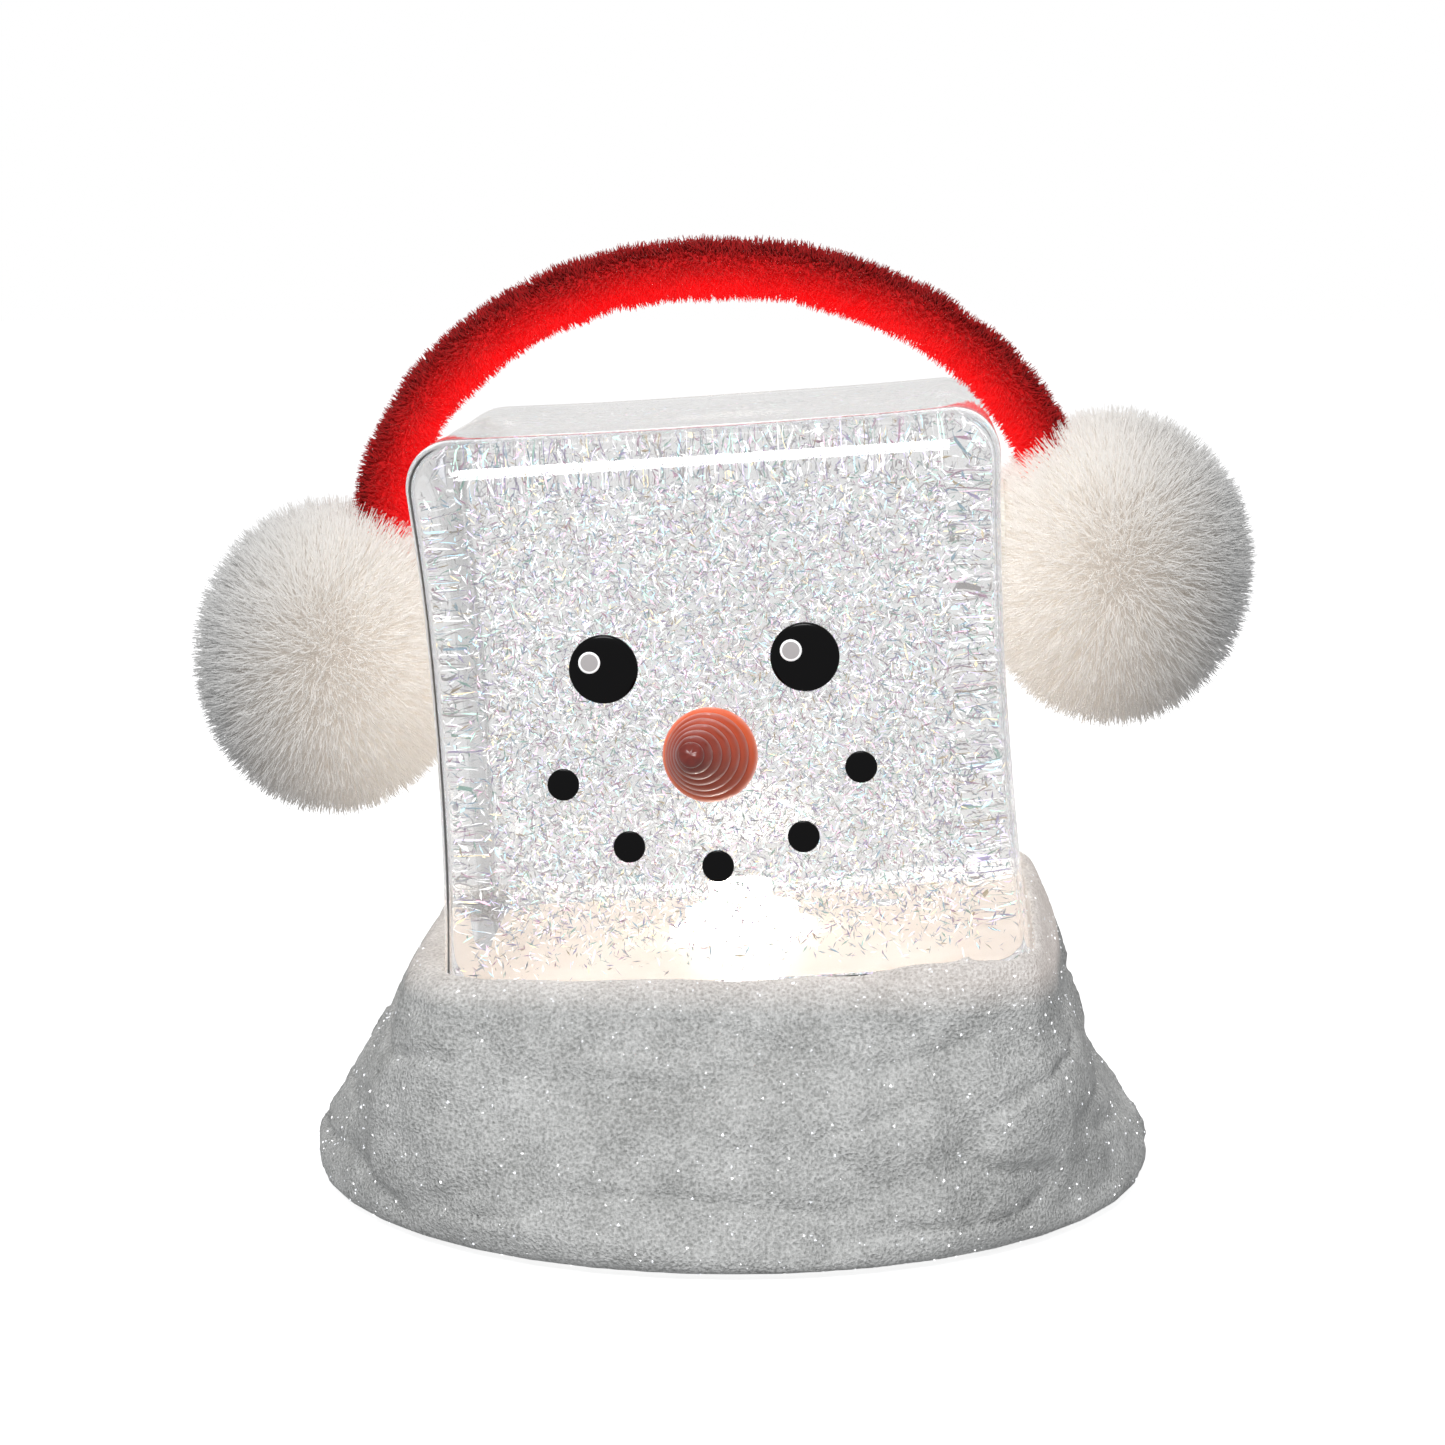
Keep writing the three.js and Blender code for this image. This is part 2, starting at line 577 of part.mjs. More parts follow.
// The band's middle line: half an ellipse over the tank, with straight ends into the pompoms.
function bandCurve(extra) {
  const spring = tankTop - BAND_SPRING_DROP;
  const halfSpan = tankHalf + BAND_CLEARANCE;
  const outward = onCircle(TANK_CORNER + BAND_RADIUS + 2 * GAP, radians(CORNER_BEARING));
  const corner = new THREE.Vector3(tankHalf - TANK_CORNER, 0, TANK_HEIGHT - TANK_CORNER);
  corner.applyMatrix4(tankInBase).add(new THREE.Vector3(outward[0], 0, outward[1]));
  const clearRise = (corner.z - spring) / Math.sqrt(1 - ((corner.x - EAR_X) / halfSpan) ** 2);
  const rise = Math.max(BAND_SPRING_DROP + BAND_HEADROOM, clearRise);
  const pompomTop = (drop) => tankTop - drop + POMPOM_HEIGHT / 2;
  const leftEnd = pompomTop(EAR_DROP_LEFT) - BAND_BURIAL_LEFT;
  const rightEnd = pompomTop(EAR_DROP_RIGHT) - BAND_BURIAL_RIGHT;
  const turns = 10;
  const footAt = (end) => Math.min(end, spring - BAND_STRAIGHT) - extra;
  const points = [new THREE.Vector3(EAR_X - halfSpan, 0, footAt(leftEnd))];
  for (let i = 0; i <= turns; i += 1) {
    const angle = Math.PI * (1 - i / turns);
    const x = EAR_X + halfSpan * Math.cos(angle);
    points.push(new THREE.Vector3(x, 0, spring + rise * Math.sin(angle)));
  }
  points.push(new THREE.Vector3(EAR_X + halfSpan, 0, footAt(rightEnd)));
  return new THREE.CatmullRomCurve3(points);
}

function alongBand(radius, boreRadius, extra, sides) {
  const section = new THREE.Shape();
  section.absarc(0, 0, radius, 0, 2 * Math.PI);
  if (boreRadius > 0) {
    section.holes.push(new THREE.Path().absarc(0, 0, boreRadius, 0, 2 * Math.PI, true));
  }
  const options = { steps: 26, extrudePath: bandCurve(extra), curveSegments: sides / 2 };
  return new THREE.ExtrudeGeometry(section, options);
}

function makeEarmuffs() {
  piece(base, 'headband_wire', alongBand(BAND_WIRE_RADIUS, 0, 0, 6), 'steel');
  piece(base, 'headband_plush', alongBand(BAND_RADIUS, BAND_WIRE_RADIUS + GAP, 0, 8), 'plush');

  const bandRoom = alongBand(BAND_RADIUS + GAP, 0, GAP, 8);
  const tankRoom = fromTank(iceForm(-(PAD_THICKNESS + 2 * GAP), -1));
  const sides = [['left', -1, EAR_DROP_LEFT], ['right', 1, EAR_DROP_RIGHT]];
  sides.forEach(([side, way, drop]) => {
    const ball = new THREE.SphereGeometry(1, 18, 12);
    ball.scale(POMPOM_THICKNESS / 2, POMPOM_HEIGHT / 2, POMPOM_HEIGHT / 2);
    ball.translate(EAR_X + way * pompomX, 0, tankTop - drop);
    piece(base, `pompom_${side}`, cut(ball, tankRoom, bandRoom), 'fur');

    // Each pad is a disc of glue that follows the tank's side, level with its pompom.
    const height = TANK_HEIGHT - drop + way * leanDrop;
    const reach = [way * tankHalf / 2, way * (tankHalf + PAD_THICKNESS + 1)];
    const disc = moved(rodAlongX(PAD_RADIUS, ...reach), 0, 0, height);
    const skin = common(disc, iceForm(-(PAD_THICKNESS + GAP), 0));
    piece(tank, `glue_pad_${side}`, cut(skin, iceForm(-GAP, -1)), 'glue');
  });
}

// ---- Snow base -----------------------------------------------------------------------------

// The bank of snow, round at its foot and squared off round the tank, moved in by inset.
function snowBlock(inset, bottom, top) {
  const foot = BASE_RADIUS - inset;
  const crest = tankHalf + BANK_WIDTH - inset;
  const outline = new THREE.Path();
  outline.moveTo(0, bottom);
  outline.lineTo(foot - BASE_LIP, bottom);
  outline.lineTo(foot - BASE_LIP, BASE_LIFT);
  outline.quadraticCurveTo(foot, BASE_LIFT, foot, BASE_LIFT + BASE_LIP_HEIGHT);
  outline.lineTo((foot + crest) / 2, (BASE_LIFT + BASE_LIP_HEIGHT + top) / 2);
  outline.lineTo(crest, top - BANK_SHOULDER);
  outline.quadraticCurveTo(crest - BANK_SHOULDER / 2, top, crest - 2 * BANK_SHOULDER, top);
  outline.lineTo(0, top);
  const points = outline.getPoints(3).map((point) => [point.x, point.y]);
  return reshape(turned(points, 40), (point) => {
    const angle = Math.atan2(point.y, point.x) + radians(TANK_TURN);
    const climb = THREE.MathUtils.smoothstep(point.z, BASE_LIFT + 3 * BASE_LIP_HEIGHT, top);
    const power = 2 + (BASE_SQUARENESS - 2) * climb;
    const spread = Math.abs(Math.cos(angle)) ** power + Math.abs(Math.sin(angle)) ** power;
    const widening = spread ** (-1 / power);
    const rise = BANK_RISE * climb * climb * Math.max(0, Math.cos(angle)) ** 3;
    point.set(point.x * widening, point.y * widening, point.z + rise);
  });
}

function onCircle(radius, angle) {
  return [radius * Math.cos(angle), radius * Math.sin(angle)];
}

// Four places, mirrored left to right and front to back.
function fourPlaces(radius, angle) {
  return [angle, Math.PI - angle, Math.PI + angle, -angle].map((turn) => onCircle(radius, turn));
}

function makeSnowBase() {
  const wide = [-2 * BASE_RADIUS, 2 * BASE_RADIUS];
  const pilotTop = plateBottom + SCREW_LENGTH + PILOT_SPARE;
  const places = fourPlaces(BOSS_CIRCLE, radians(BOSS_ANGLE));
  const roof = block(wide, wide, [deckUnderside, tankTop]);
  const cavity = cut(snowBlock(BASE_WALL, BASE_LIFT - 3, bankCrest), roof);
  const inWall = snowBlock(BASE_WALL / 2, BASE_LIFT, bankCrest);
  const bosses = places.map(([x, y]) => {
    const post = rod(BOSS_RADIUS, plateTop + GAP, plateTop + BOSS_HEIGHT, 16);
    return common(moved(post, x, y), inWall);
  });
  const webs = places.map(([x, y]) => {
    const heights = [plateTop + BOSS_HEIGHT / 2, plateTop + BOSS_HEIGHT];
    const web = block([BOSS_CIRCLE, BASE_RADIUS], [-BOSS_WEB / 2, BOSS_WEB / 2], heights);
    return common(web.rotateZ(Math.atan2(y, x)), inWall);
  });
  const pilots = places.map(([x, y]) => {
    return moved(rod(SCREW_RADIUS + GAP, plateTop, pilotTop, 12), x, y);
  });
  const tankSeat = fromTank(iceForm(-GAP, -GAP));
  const driveHole = fromTank(rod(LIGHT_BOARD_RADIUS + 3 * GAP, belowDeck, 1));
  const bracketPilots = [-1, 1].map((way) => {
    const pilot = rod(SCREW_RADIUS + GAP, belowDeck, -2, 12);
    return fromTank(moved(pilot, 0, way * BRACKET_SCREW_CIRCLE));
  });
  const shell = cut(snowBlock(0, BASE_LIFT, bankCrest), cavity);
  const bossed = join(shell, ...bosses, ...webs);
  const snow = cut(bossed, ...pilots, ...bracketPilots, tankSeat, driveHole);
  piece(base, 'snow_base', snow, 'snow');
}

// ---- Bottom cover, feet, battery door -------------------------------------------------------

// A pan-head screw pointing up, its head's underside at a given height.
function screw(radius, headRadius, headHeight, headTop, length) {
  const shank = rod(radius, headTop - headHeight / 2, headTop + length, 12);
  return join(rod(headRadius, headTop - headHeight, headTop, 20), shank);
}

function makeBottom() {
  const opening = block(
    [-doorHalf - GAP, doorHalf + GAP],
    [doorFront - GAP, hingeY - HINGE_SHOULDER],
    [0, plateTop + 1],
  );
  const places = fourPlaces(BOSS_CIRCLE, radians(BOSS_ANGLE));
  const headTop = plateBottom + SCREW_HEAD_HEIGHT;
  const screwHoles = places.flatMap(([x, y]) => [
    moved(rod(SCREW_RADIUS + GAP, 0, plateTop + 1, 12), x, y),
    moved(rod(SCREW_HEAD_RADIUS + GAP, 0, headTop + GAP, 20), x, y),
  ]);
  const notches = [-1, 1].flatMap((way) => {
    const middle = way * HINGE_SPREAD;
    const halfBarrel = HINGE_BARREL / 2 + GAP;
    const halfPin = halfBarrel + HINGE_PIN_LENGTH + GAP;
    const notchBack = hingeY + HINGE_RADIUS + GAP;
    const across = [middle - halfBarrel, middle + halfBarrel];
    const notch = block(across, [doorBack - GAP, notchBack], [0, plateTop + 1]);
    const pinHole = rodAlongX(HINGE_PIN_RADIUS + GAP, middle - halfPin, middle + halfPin);
    return [notch, moved(pinHole, 0, hingeY, hingeZ)];
  });
  const halfKnob = KNOB_LENGTH / 2 + SWITCH_TRAVEL + GAP;
  const halfSlot = KNOB_WIDTH / 2 + GAP;
  const switchSlot = block(
    [-halfKnob, halfKnob],
    [SWITCH_Y - halfSlot, SWITCH_Y + halfSlot],
    [0, plateTop + 1],
  );
  const postX = BOARD_LENGTH / 2 - POST_INSET;
  const posts = [-1, 1].map((way) => {
    return moved(rod(POST_RADIUS, plateTop - 1, boardBottom - GAP, 12), way * postX, SWITCH_Y);
  });
  const tabRoom = block(
    [TAB_X - TAB_HALF_WIDTH - GAP, TAB_X + TAB_HALF_WIDTH + GAP],
    [tabFront - GAP, doorFront],
    [0, doorTop + GAP],
  );
  const anchorTop = plateBottom + DOOR_SCREW_LENGTH + 1;
  const anchor = block(
    [TAB_X - TAB_HALF_WIDTH - ANCHOR_WALL, TAB_X + TAB_HALF_WIDTH + ANCHOR_WALL],
    [tabFront - ANCHOR_WALL, TRAY_FRONT - GAP],
    [plateBottom, anchorTop],
  );
  const pilot = rod(DOOR_SCREW_RADIUS + GAP, 0, anchorTop - 0.5, 12);
  const anchorPilot = moved(pilot, TAB_X, doorScrewY);
  const plate = join(rod(plateRadius, plateBottom, plateTop, 40), anchor, ...posts);
  const cuts = [opening, ...screwHoles, ...notches, switchSlot, tabRoom, anchorPilot];
  piece(base, 'base_plate', cut(plate, ...cuts), 'white');

  places.forEach(([x, y], i) => {
    const shankLength = SCREW_LENGTH - SCREW_HEAD_HEIGHT;
    const body = screw(SCREW_RADIUS, SCREW_HEAD_RADIUS, SCREW_HEAD_HEIGHT, headTop, shankLength);
    piece(base, `base_screw_${i + 1}`, body, 'steel').position.set(x, y, 0);
  });
  fourPlaces(FOOT_CIRCLE, Math.PI / 4).forEach(([x, y], i) => {
    piece(base, `foot_${i + 1}`, rod(FOOT_RADIUS, 0, plateBottom - GAP), 'foam').position.set(x, y, 0);
  });

  // The door swings down on two barrels at its back edge; a captive screw holds its front edge.
  const panel = block([-doorHalf, doorHalf], [doorFront, doorBack], [plateBottom, doorTop]);
  const tab = block(
    [TAB_X - TAB_HALF_WIDTH, TAB_X + TAB_HALF_WIDTH],
    [tabFront, doorFront + 1],
    [plateBottom, doorTop],
  );
  const barrels = [-1, 1].flatMap((way) => {
    const middle = way * HINGE_SPREAD;
    const halfBarrel = HINGE_BARREL / 2;
    const halfPin = halfBarrel + HINGE_PIN_LENGTH;
    const web = block(
      [middle - halfBarrel, middle + halfBarrel],
      [doorBack - 1, hingeY],
      [hingeZ - HINGE_RADIUS / 2, hingeZ + HINGE_RADIUS / 2],
    );
    return [
      moved(rodAlongX(HINGE_RADIUS, middle - halfBarrel, middle + halfBarrel), 0, hingeY, hingeZ),
      moved(rodAlongX(HINGE_PIN_RADIUS, middle - halfPin, middle + halfPin, 12), 0, hingeY, hingeZ),
      web,
    ];
  });
  const screwSeat = plateBottom + SCREW_HEAD_HEIGHT / 2;
  const hole = moved(rod(DOOR_SCREW_RADIUS + GAP, 0, doorTop + 1, 12), TAB_X, doorScrewY);
  const headRoom = moved(rod(SCREW_HEAD_RADIUS + GAP, 0, screwSeat + GAP), TAB_X, doorScrewY);
  const grips = [];
  for (let i = 0; i < GRIP_COUNT; i += 1) {
    const y = (doorFront + doorBack) / 2 + GRIP_PITCH * (i - (GRIP_COUNT - 1) / 2);
    const across = [-GRIP_LENGTH / 2, GRIP_LENGTH / 2];
    grips.push(block(across, [y - GRIP_WIDTH / 2, y + GRIP_WIDTH / 2], [0, plateBottom + GRIP_DEPTH]));
  }
  piece(base, 'battery_door', cut(join(panel, tab, ...barrels), hole, headRoom, ...grips), 'white');
  const shank = DOOR_SCREW_LENGTH - SCREW_HEAD_HEIGHT / 2;
  const headHeight = SCREW_HEAD_HEIGHT / 2;
  const doorScrew = screw(DOOR_SCREW_RADIUS, SCREW_HEAD_RADIUS, headHeight, screwSeat, shank);
  piece(base, 'door_screw', doorScrew, 'steel').position.set(TAB_X, doorScrewY, 0);
}

// ---- Cells and contacts ---------------------------------------------------------------------

function cellY(index) {
  return bayFront + GAP + cellPitch * (index + 0.5);
}

// A tapering coil that grows from a contact plate, along +X.
class CoilCurve extends THREE.Curve {
  constructor(length, wide, narrow, turns) {
    super();
    Object.assign(this, { length, wide, narrow, turns });
  }

  getPoint(share, target = new THREE.Vector3()) {
    const angle = 2 * Math.PI * this.turns * share;
    const radius = THREE.MathUtils.lerp(this.wide, this.narrow, share);
    return target.set(this.length * share, radius * Math.cos(angle), radius * Math.sin(angle));
  }
}

function coilSpring() {
  const section = new THREE.Shape().absarc(0, 0, COIL_WIRE_RADIUS, 0, 2 * Math.PI);
  const length = CONTACT_SPACE - CONTACT_PLATE - 2 * GAP - 2 * COIL_WIRE_RADIUS;
  const wide = CONTACT_HALF_WIDTH - 2 * COIL_WIRE_RADIUS;
  const extrudePath = new CoilCurve(length, wide, COIL_NARROW_RADIUS, COIL_TURNS);
  return new THREE.ExtrudeGeometry(section, { steps: 24, extrudePath, curveSegments: 2 });
}

// A contact spring or a raised pad, facing inwards from the end of the bay that way points to.
function contactFace(kind, way, y) {
  const plateX = bayHalf - GAP - CONTACT_PLATE;
  const reach = CONTACT_SPACE - CONTACT_PLATE - 2 * GAP;
  const inward = kind === 'spring'
    ? moved(coilSpring(), COIL_WIRE_RADIUS / 2, 0)
    : rodAlongX(CONTACT_PAD_RADIUS, -CONTACT_PLATE / 2, reach - 2 * GAP);
  if (way > 0) {
    inward.rotateZ(Math.PI);
  }
  return moved(inward, way * plateX, y, cellHeight);
}

function contactPlate(way, fromY, toY) {
  const outer = bayHalf - GAP;
  const x = way > 0 ? [outer - CONTACT_PLATE, outer] : [-outer, -outer + CONTACT_PLATE];
  const y = [fromY - CONTACT_HALF_WIDTH, toY + CONTACT_HALF_WIDTH];
  return block(x, y, [cellHeight - CONTACT_HALF_WIDTH, cellHeight + CONTACT_HALF_WIDTH]);
}

function makeCells() {
  const trayTop = cellHeight + CELL_DIAMETER / 2 + GAP;
  const bayBack = bayFront + bayDepth;
  const outside = block(
    [-bayHalf - TRAY_WALL, bayHalf + TRAY_WALL],
    [TRAY_FRONT, bayBack + TRAY_WALL],
    [plateTop + GAP, trayTop + TRAY_WALL],
  );
  const inside = block([-bayHalf, bayHalf], [bayFront, bayBack], [0, trayTop]);
  piece(base, 'battery_tray', cut(outside, inside), 'white');

  for (let i = 0; i < CELL_COUNT; i += 1) {
    const way = i % 2 === 0 ? 1 : -1;
    const half = CELL_LENGTH / 2;
    const can = rodAlongX(CELL_DIAMETER / 2, -half, half - NUB_LENGTH, 24);
    const nub = rodAlongX(NUB_RADIUS, half - NUB_LENGTH - GAP, half);
    const cell = join(can, nub);
    if (way < 0) {
      cell.rotateZ(Math.PI);
    }
    piece(base, `battery_${i + 1}`, cell, 'cell').position.set(0, cellY(i), cellHeight);
  }

  // The first cell's positive end is on the right, the last one's negative end on the left.
  const last = CELL_COUNT - 1;
  const positive = join(contactPlate(1, cellY(0), cellY(0)), contactFace('pad', 1, cellY(0)));
  piece(base, 'contact_positive', positive, 'nickel');
  for (let i = 0; i < last; i += 1) {
    const way = i % 2 === 0 ? -1 : 1;
    const bar = contactPlate(way, cellY(i), cellY(i + 1));
    const link = join(bar, contactFace('spring', way, cellY(i)), contactFace('pad', way, cellY(i + 1)));
    piece(base, `contact_link_${i + 1}`, link, 'nickel');
  }
  const lastWay = last % 2 === 0 ? -1 : 1;
  const lastPlate = contactPlate(lastWay, cellY(last), cellY(last));
  const negative = join(lastPlate, contactFace('spring', lastWay, cellY(last)));
  piece(base, 'contact_negative', negative, 'nickel');
}

// ---- Switch, board and leads ----------------------------------------------------------------

function makeControls() {
  const bodyBottom = plateTop + GAP;
  const bodyTop = bodyBottom + SWITCH_HEIGHT;
  const halfWidth = SWITCH_WIDTH / 2;
  const halfLength = SWITCH_LENGTH / 2;
  const y = [SWITCH_Y - halfWidth, SWITCH_Y + halfWidth];
  const body = block([-halfLength, halfLength], y, [bodyBottom, bodyTop]);
  const halfKnob = KNOB_LENGTH / 2;
  const halfTravel = halfKnob + SWITCH_TRAVEL + GAP;
  const slotWidth = KNOB_WIDTH / 2 + GAP;
  const track = block(
    [-halfTravel, halfTravel],
    [SWITCH_Y - slotWidth, SWITCH_Y + slotWidth],
    [0, bodyBottom + SWITCH_HEIGHT / 2],
  );
  piece(base, 'switch_body', cut(body, track), 'steel');

  const knobBottom = BASE_LIFT / 2;
  const knobTop = bodyBottom + SWITCH_HEIGHT / 2 - GAP;
  const stem = block([-halfKnob, halfKnob], [-KNOB_WIDTH / 2, KNOB_WIDTH / 2], [knobBottom, knobTop]);
  const grooves = [-1, 0, 1].map((i) => {
    const across = [i - KNOB_GROOVE / 2, i + KNOB_GROOVE / 2];
    return block(across, [-KNOB_WIDTH, KNOB_WIDTH], [0, knobBottom + KNOB_GROOVE]);
  });
  piece(base, 'switch_knob', cut(stem, ...grooves), 'rubber').position.set(0, SWITCH_Y, 0);

  const board = block(
    [-BOARD_LENGTH / 2, BOARD_LENGTH / 2],
    [SWITCH_Y - BOARD_WIDTH / 2, SWITCH_Y + BOARD_WIDTH / 2],
    [boardBottom, boardBottom + BOARD_THICKNESS],
  );
  piece(base, 'control_board', board, 'board');
  const chipBottom = boardBottom + BOARD_THICKNESS + GAP;
  const halfChip = CHIP_LENGTH / 2;
  const chipY = [SWITCH_Y - halfChip / 2, SWITCH_Y + halfChip / 2];
  const chip = block([-halfChip, halfChip], chipY, [chipBottom, chipBottom + CHIP_HEIGHT]);
  piece(base, 'timer_chip', chip, 'rubber');

  // Each lead leaves the front of the tray and drops on to the top of the board.
  const padTop = boardBottom + BOARD_THICKNESS + GAP + LEAD_RADIUS;
  const boardBack = SWITCH_Y + BOARD_WIDTH / 2;
  const leads = [['battery_lead_red', 1, 'redLead'], ['battery_lead_black', -1, 'blackLead']];
  leads.forEach(([name, way, finish]) => {
    const route = new THREE.CatmullRomCurve3([
      new THREE.Vector3(way * LEAD_X, TRAY_FRONT - GAP, cellHeight),
      new THREE.Vector3(way * LEAD_X, TRAY_FRONT - 8, cellHeight),
      new THREE.Vector3(way * (LEAD_X + 2), (TRAY_FRONT + boardBack) / 2, cellHeight - 3),
      new THREE.Vector3(way * LEAD_X * 0.75, boardBack + 6, padTop + 2),
      new THREE.Vector3(way * BOARD_LENGTH * 0.36, boardBack - 2, padTop),
      new THREE.Vector3(way * BOARD_LENGTH * 0.34, boardBack - 5, padTop),
    ]);
    const section = new THREE.Shape().absarc(0, 0, LEAD_RADIUS, 0, 2 * Math.PI);
    const options = { steps: 16, extrudePath: route, curveSegments: 3 };
    piece(base, name, new THREE.ExtrudeGeometry(section, options), finish);
  });
}

// ---- Motor, drive magnets and lights --------------------------------------------------------

function makeDrive() {
  const carrierBottom = CARRIER_TOP - CARRIER_HEIGHT;
  const motorBottom = motorTop - MOTOR_LENGTH;
  const shaftTop = CARRIER_TOP - SHAFT_COVER;
  const socketBottom = motorTop - SHAFT_SOCKET;
  const can = cut(rod(MOTOR_RADIUS, motorBottom, motorTop), rod(SHAFT_RADIUS + GAP, socketBottom, 0));
  piece(tank, 'motor_can', can, 'steel');
  piece(tank, 'motor_shaft', rod(SHAFT_RADIUS, socketBottom + GAP, shaftTop, 16), 'steel');

  const pocketBottom = CARRIER_TOP - DRIVE_MAGNET_HEIGHT - GAP;
  const ways = [-1, 1];
  const pockets = ways.map((way) => {
    return moved(rod(DRIVE_MAGNET_RADIUS + GAP, pocketBottom, 1, 16), way * DRIVE_MAGNET_CIRCLE, 0);
  });
  const carrier = rod(CARRIER_RADIUS, carrierBottom, CARRIER_TOP);
  const shaftHole = rod(SHAFT_RADIUS + GAP, carrierBottom - 1, shaftTop + GAP, 16);
  piece(tank, 'magnet_carrier', cut(carrier, shaftHole, ...pockets), 'white');
  ways.forEach((way, i) => {
    const magnet = rod(DRIVE_MAGNET_RADIUS, CARRIER_TOP - DRIVE_MAGNET_HEIGHT, CARRIER_TOP, 16);
    piece(tank, `drive_magnet_${i + 1}`, magnet, 'nickel').position.x = way * DRIVE_MAGNET_CIRCLE;
  });

  const ring = cut(
    rod(LIGHT_BOARD_RADIUS, lightBoardBottom, lightBoardTop, 32),
    rod(CARRIER_RADIUS + 2 * GAP, lightBoardBottom - 1, lightBoardTop + 1, 32),
  );
  piece(tank, 'led_board', ring, 'board');
  ways.forEach((way, i) => {
    const dome = [[0, 0], [LED_RADIUS, 0], [LED_RADIUS, LED_HEIGHT - LED_RADIUS]];
    dome.push([LED_RADIUS * 0.7, LED_HEIGHT - LED_RADIUS * 0.3], [0, LED_HEIGHT]);
    const led = piece(tank, `led_${i + 1}`, turned(dome, 16), 'lamp');
    led.position.set(0, way * LED_CIRCLE, lightBoardTop + GAP);
  });

  // A tube grips the motor, a flange screws up under the deck, and a cup carries the lights.
  const bore = MOTOR_RADIUS + GAP;
  const tube = bore + BRACKET_WALL;
  const flangeLean = BRACKET_FLANGE_RADIUS * Math.sin(radians(TANK_LEAN));
  const flangeTop = deckUnderside - TANK_SEAT - 2 * GAP - flangeLean;
  const flangeBottom = flangeTop - BRACKET_FLANGE_THICKNESS;
  const bracket = turned([
    [bore, motorBottom + BRACKET_FOOT],
    [tube, motorBottom + BRACKET_FOOT],
    [tube, flangeBottom],
    [BRACKET_FLANGE_RADIUS, flangeBottom],
    [BRACKET_FLANGE_RADIUS, flangeTop],
    [LIGHT_BOARD_RADIUS, flangeTop],
    [LIGHT_BOARD_RADIUS, lightBoardBottom - GAP],
    [LIGHT_BOARD_RADIUS - BRACKET_WALL, lightBoardBottom - GAP],
    [LIGHT_BOARD_RADIUS - BRACKET_WALL, flangeTop],
    [bore, flangeTop],
    [bore, motorBottom + BRACKET_FOOT],
  ]);
  const holes = ways.map((way) => {
    const hole = rod(SCREW_RADIUS + GAP, flangeBottom - 1, flangeTop + 1, 12);
    return moved(hole, 0, way * BRACKET_SCREW_CIRCLE);
  });
  piece(tank, 'motor_bracket', cut(bracket, ...holes), 'white');
  ways.forEach((way, i) => {
    const headTop = flangeBottom - GAP;
    const shankLength = -DECK_THICKNESS - BRACKET_SCREW_BITE - headTop;
    const body = screw(SCREW_RADIUS, SCREW_HEAD_RADIUS, SCREW_HEAD_HEIGHT, headTop, shankLength);
    piece(tank, `bracket_screw_${i + 1}`, body, 'steel').position.y = way * BRACKET_SCREW_CIRCLE;
  });
}

makeTank();
makeStirrer();
makeFace();
makeEarmuffs();
makeSnowBase();
makeBottom();
makeCells();
makeControls();
makeDrive();

export default snowman;
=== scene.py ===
import json
import math
import random

import bmesh
import bpy
from mathutils import Matrix, Vector, noise


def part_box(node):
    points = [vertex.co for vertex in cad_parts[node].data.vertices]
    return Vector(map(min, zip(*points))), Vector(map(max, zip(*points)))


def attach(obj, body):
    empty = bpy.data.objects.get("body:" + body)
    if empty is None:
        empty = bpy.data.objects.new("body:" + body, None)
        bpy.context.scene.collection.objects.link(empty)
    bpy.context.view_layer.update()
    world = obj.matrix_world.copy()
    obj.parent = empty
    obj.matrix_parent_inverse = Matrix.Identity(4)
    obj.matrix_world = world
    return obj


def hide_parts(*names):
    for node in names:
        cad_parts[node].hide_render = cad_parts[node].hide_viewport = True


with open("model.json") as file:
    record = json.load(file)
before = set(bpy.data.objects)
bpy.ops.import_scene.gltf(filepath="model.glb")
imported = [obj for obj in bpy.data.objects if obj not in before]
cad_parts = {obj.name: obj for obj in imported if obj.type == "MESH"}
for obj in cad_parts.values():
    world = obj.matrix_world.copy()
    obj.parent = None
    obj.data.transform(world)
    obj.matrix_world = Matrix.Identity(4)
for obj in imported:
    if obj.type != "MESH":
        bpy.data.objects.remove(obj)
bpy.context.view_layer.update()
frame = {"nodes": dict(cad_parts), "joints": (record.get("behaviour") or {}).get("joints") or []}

# ---- Camera ---------------------------------------------------------------------------------
# A long lens on a full-frame camera, in front of the ornament and a little above its top,
# looking slightly down on it.

LENS = 88
SENSOR_WIDTH = 36
CAMERA_BACK = 0.6238
CAMERA_UP = 0.1752
CAMERA_DOWN_DEGREES = 8.65

camera_data = bpy.data.cameras.new("camera")
camera_data.lens = LENS
camera_data.sensor_width = SENSOR_WIDTH
camera = bpy.data.objects.new("camera", camera_data)
camera.location = (0, -CAMERA_BACK, CAMERA_UP)
camera.rotation_euler = (math.radians(90 - CAMERA_DOWN_DEGREES), 0, 0)
bpy.context.scene.collection.objects.link(camera)
bpy.context.scene.camera = camera
bpy.context.scene.view_settings.view_transform = "Standard"


# ---- Node wiring, floor and studio light ----------------------------------------------------
# A white table that runs out to a white backdrop, lit by a soft box in front and a wider one
# behind. The wiring kit comes first, because the studio and every finish are made with it.

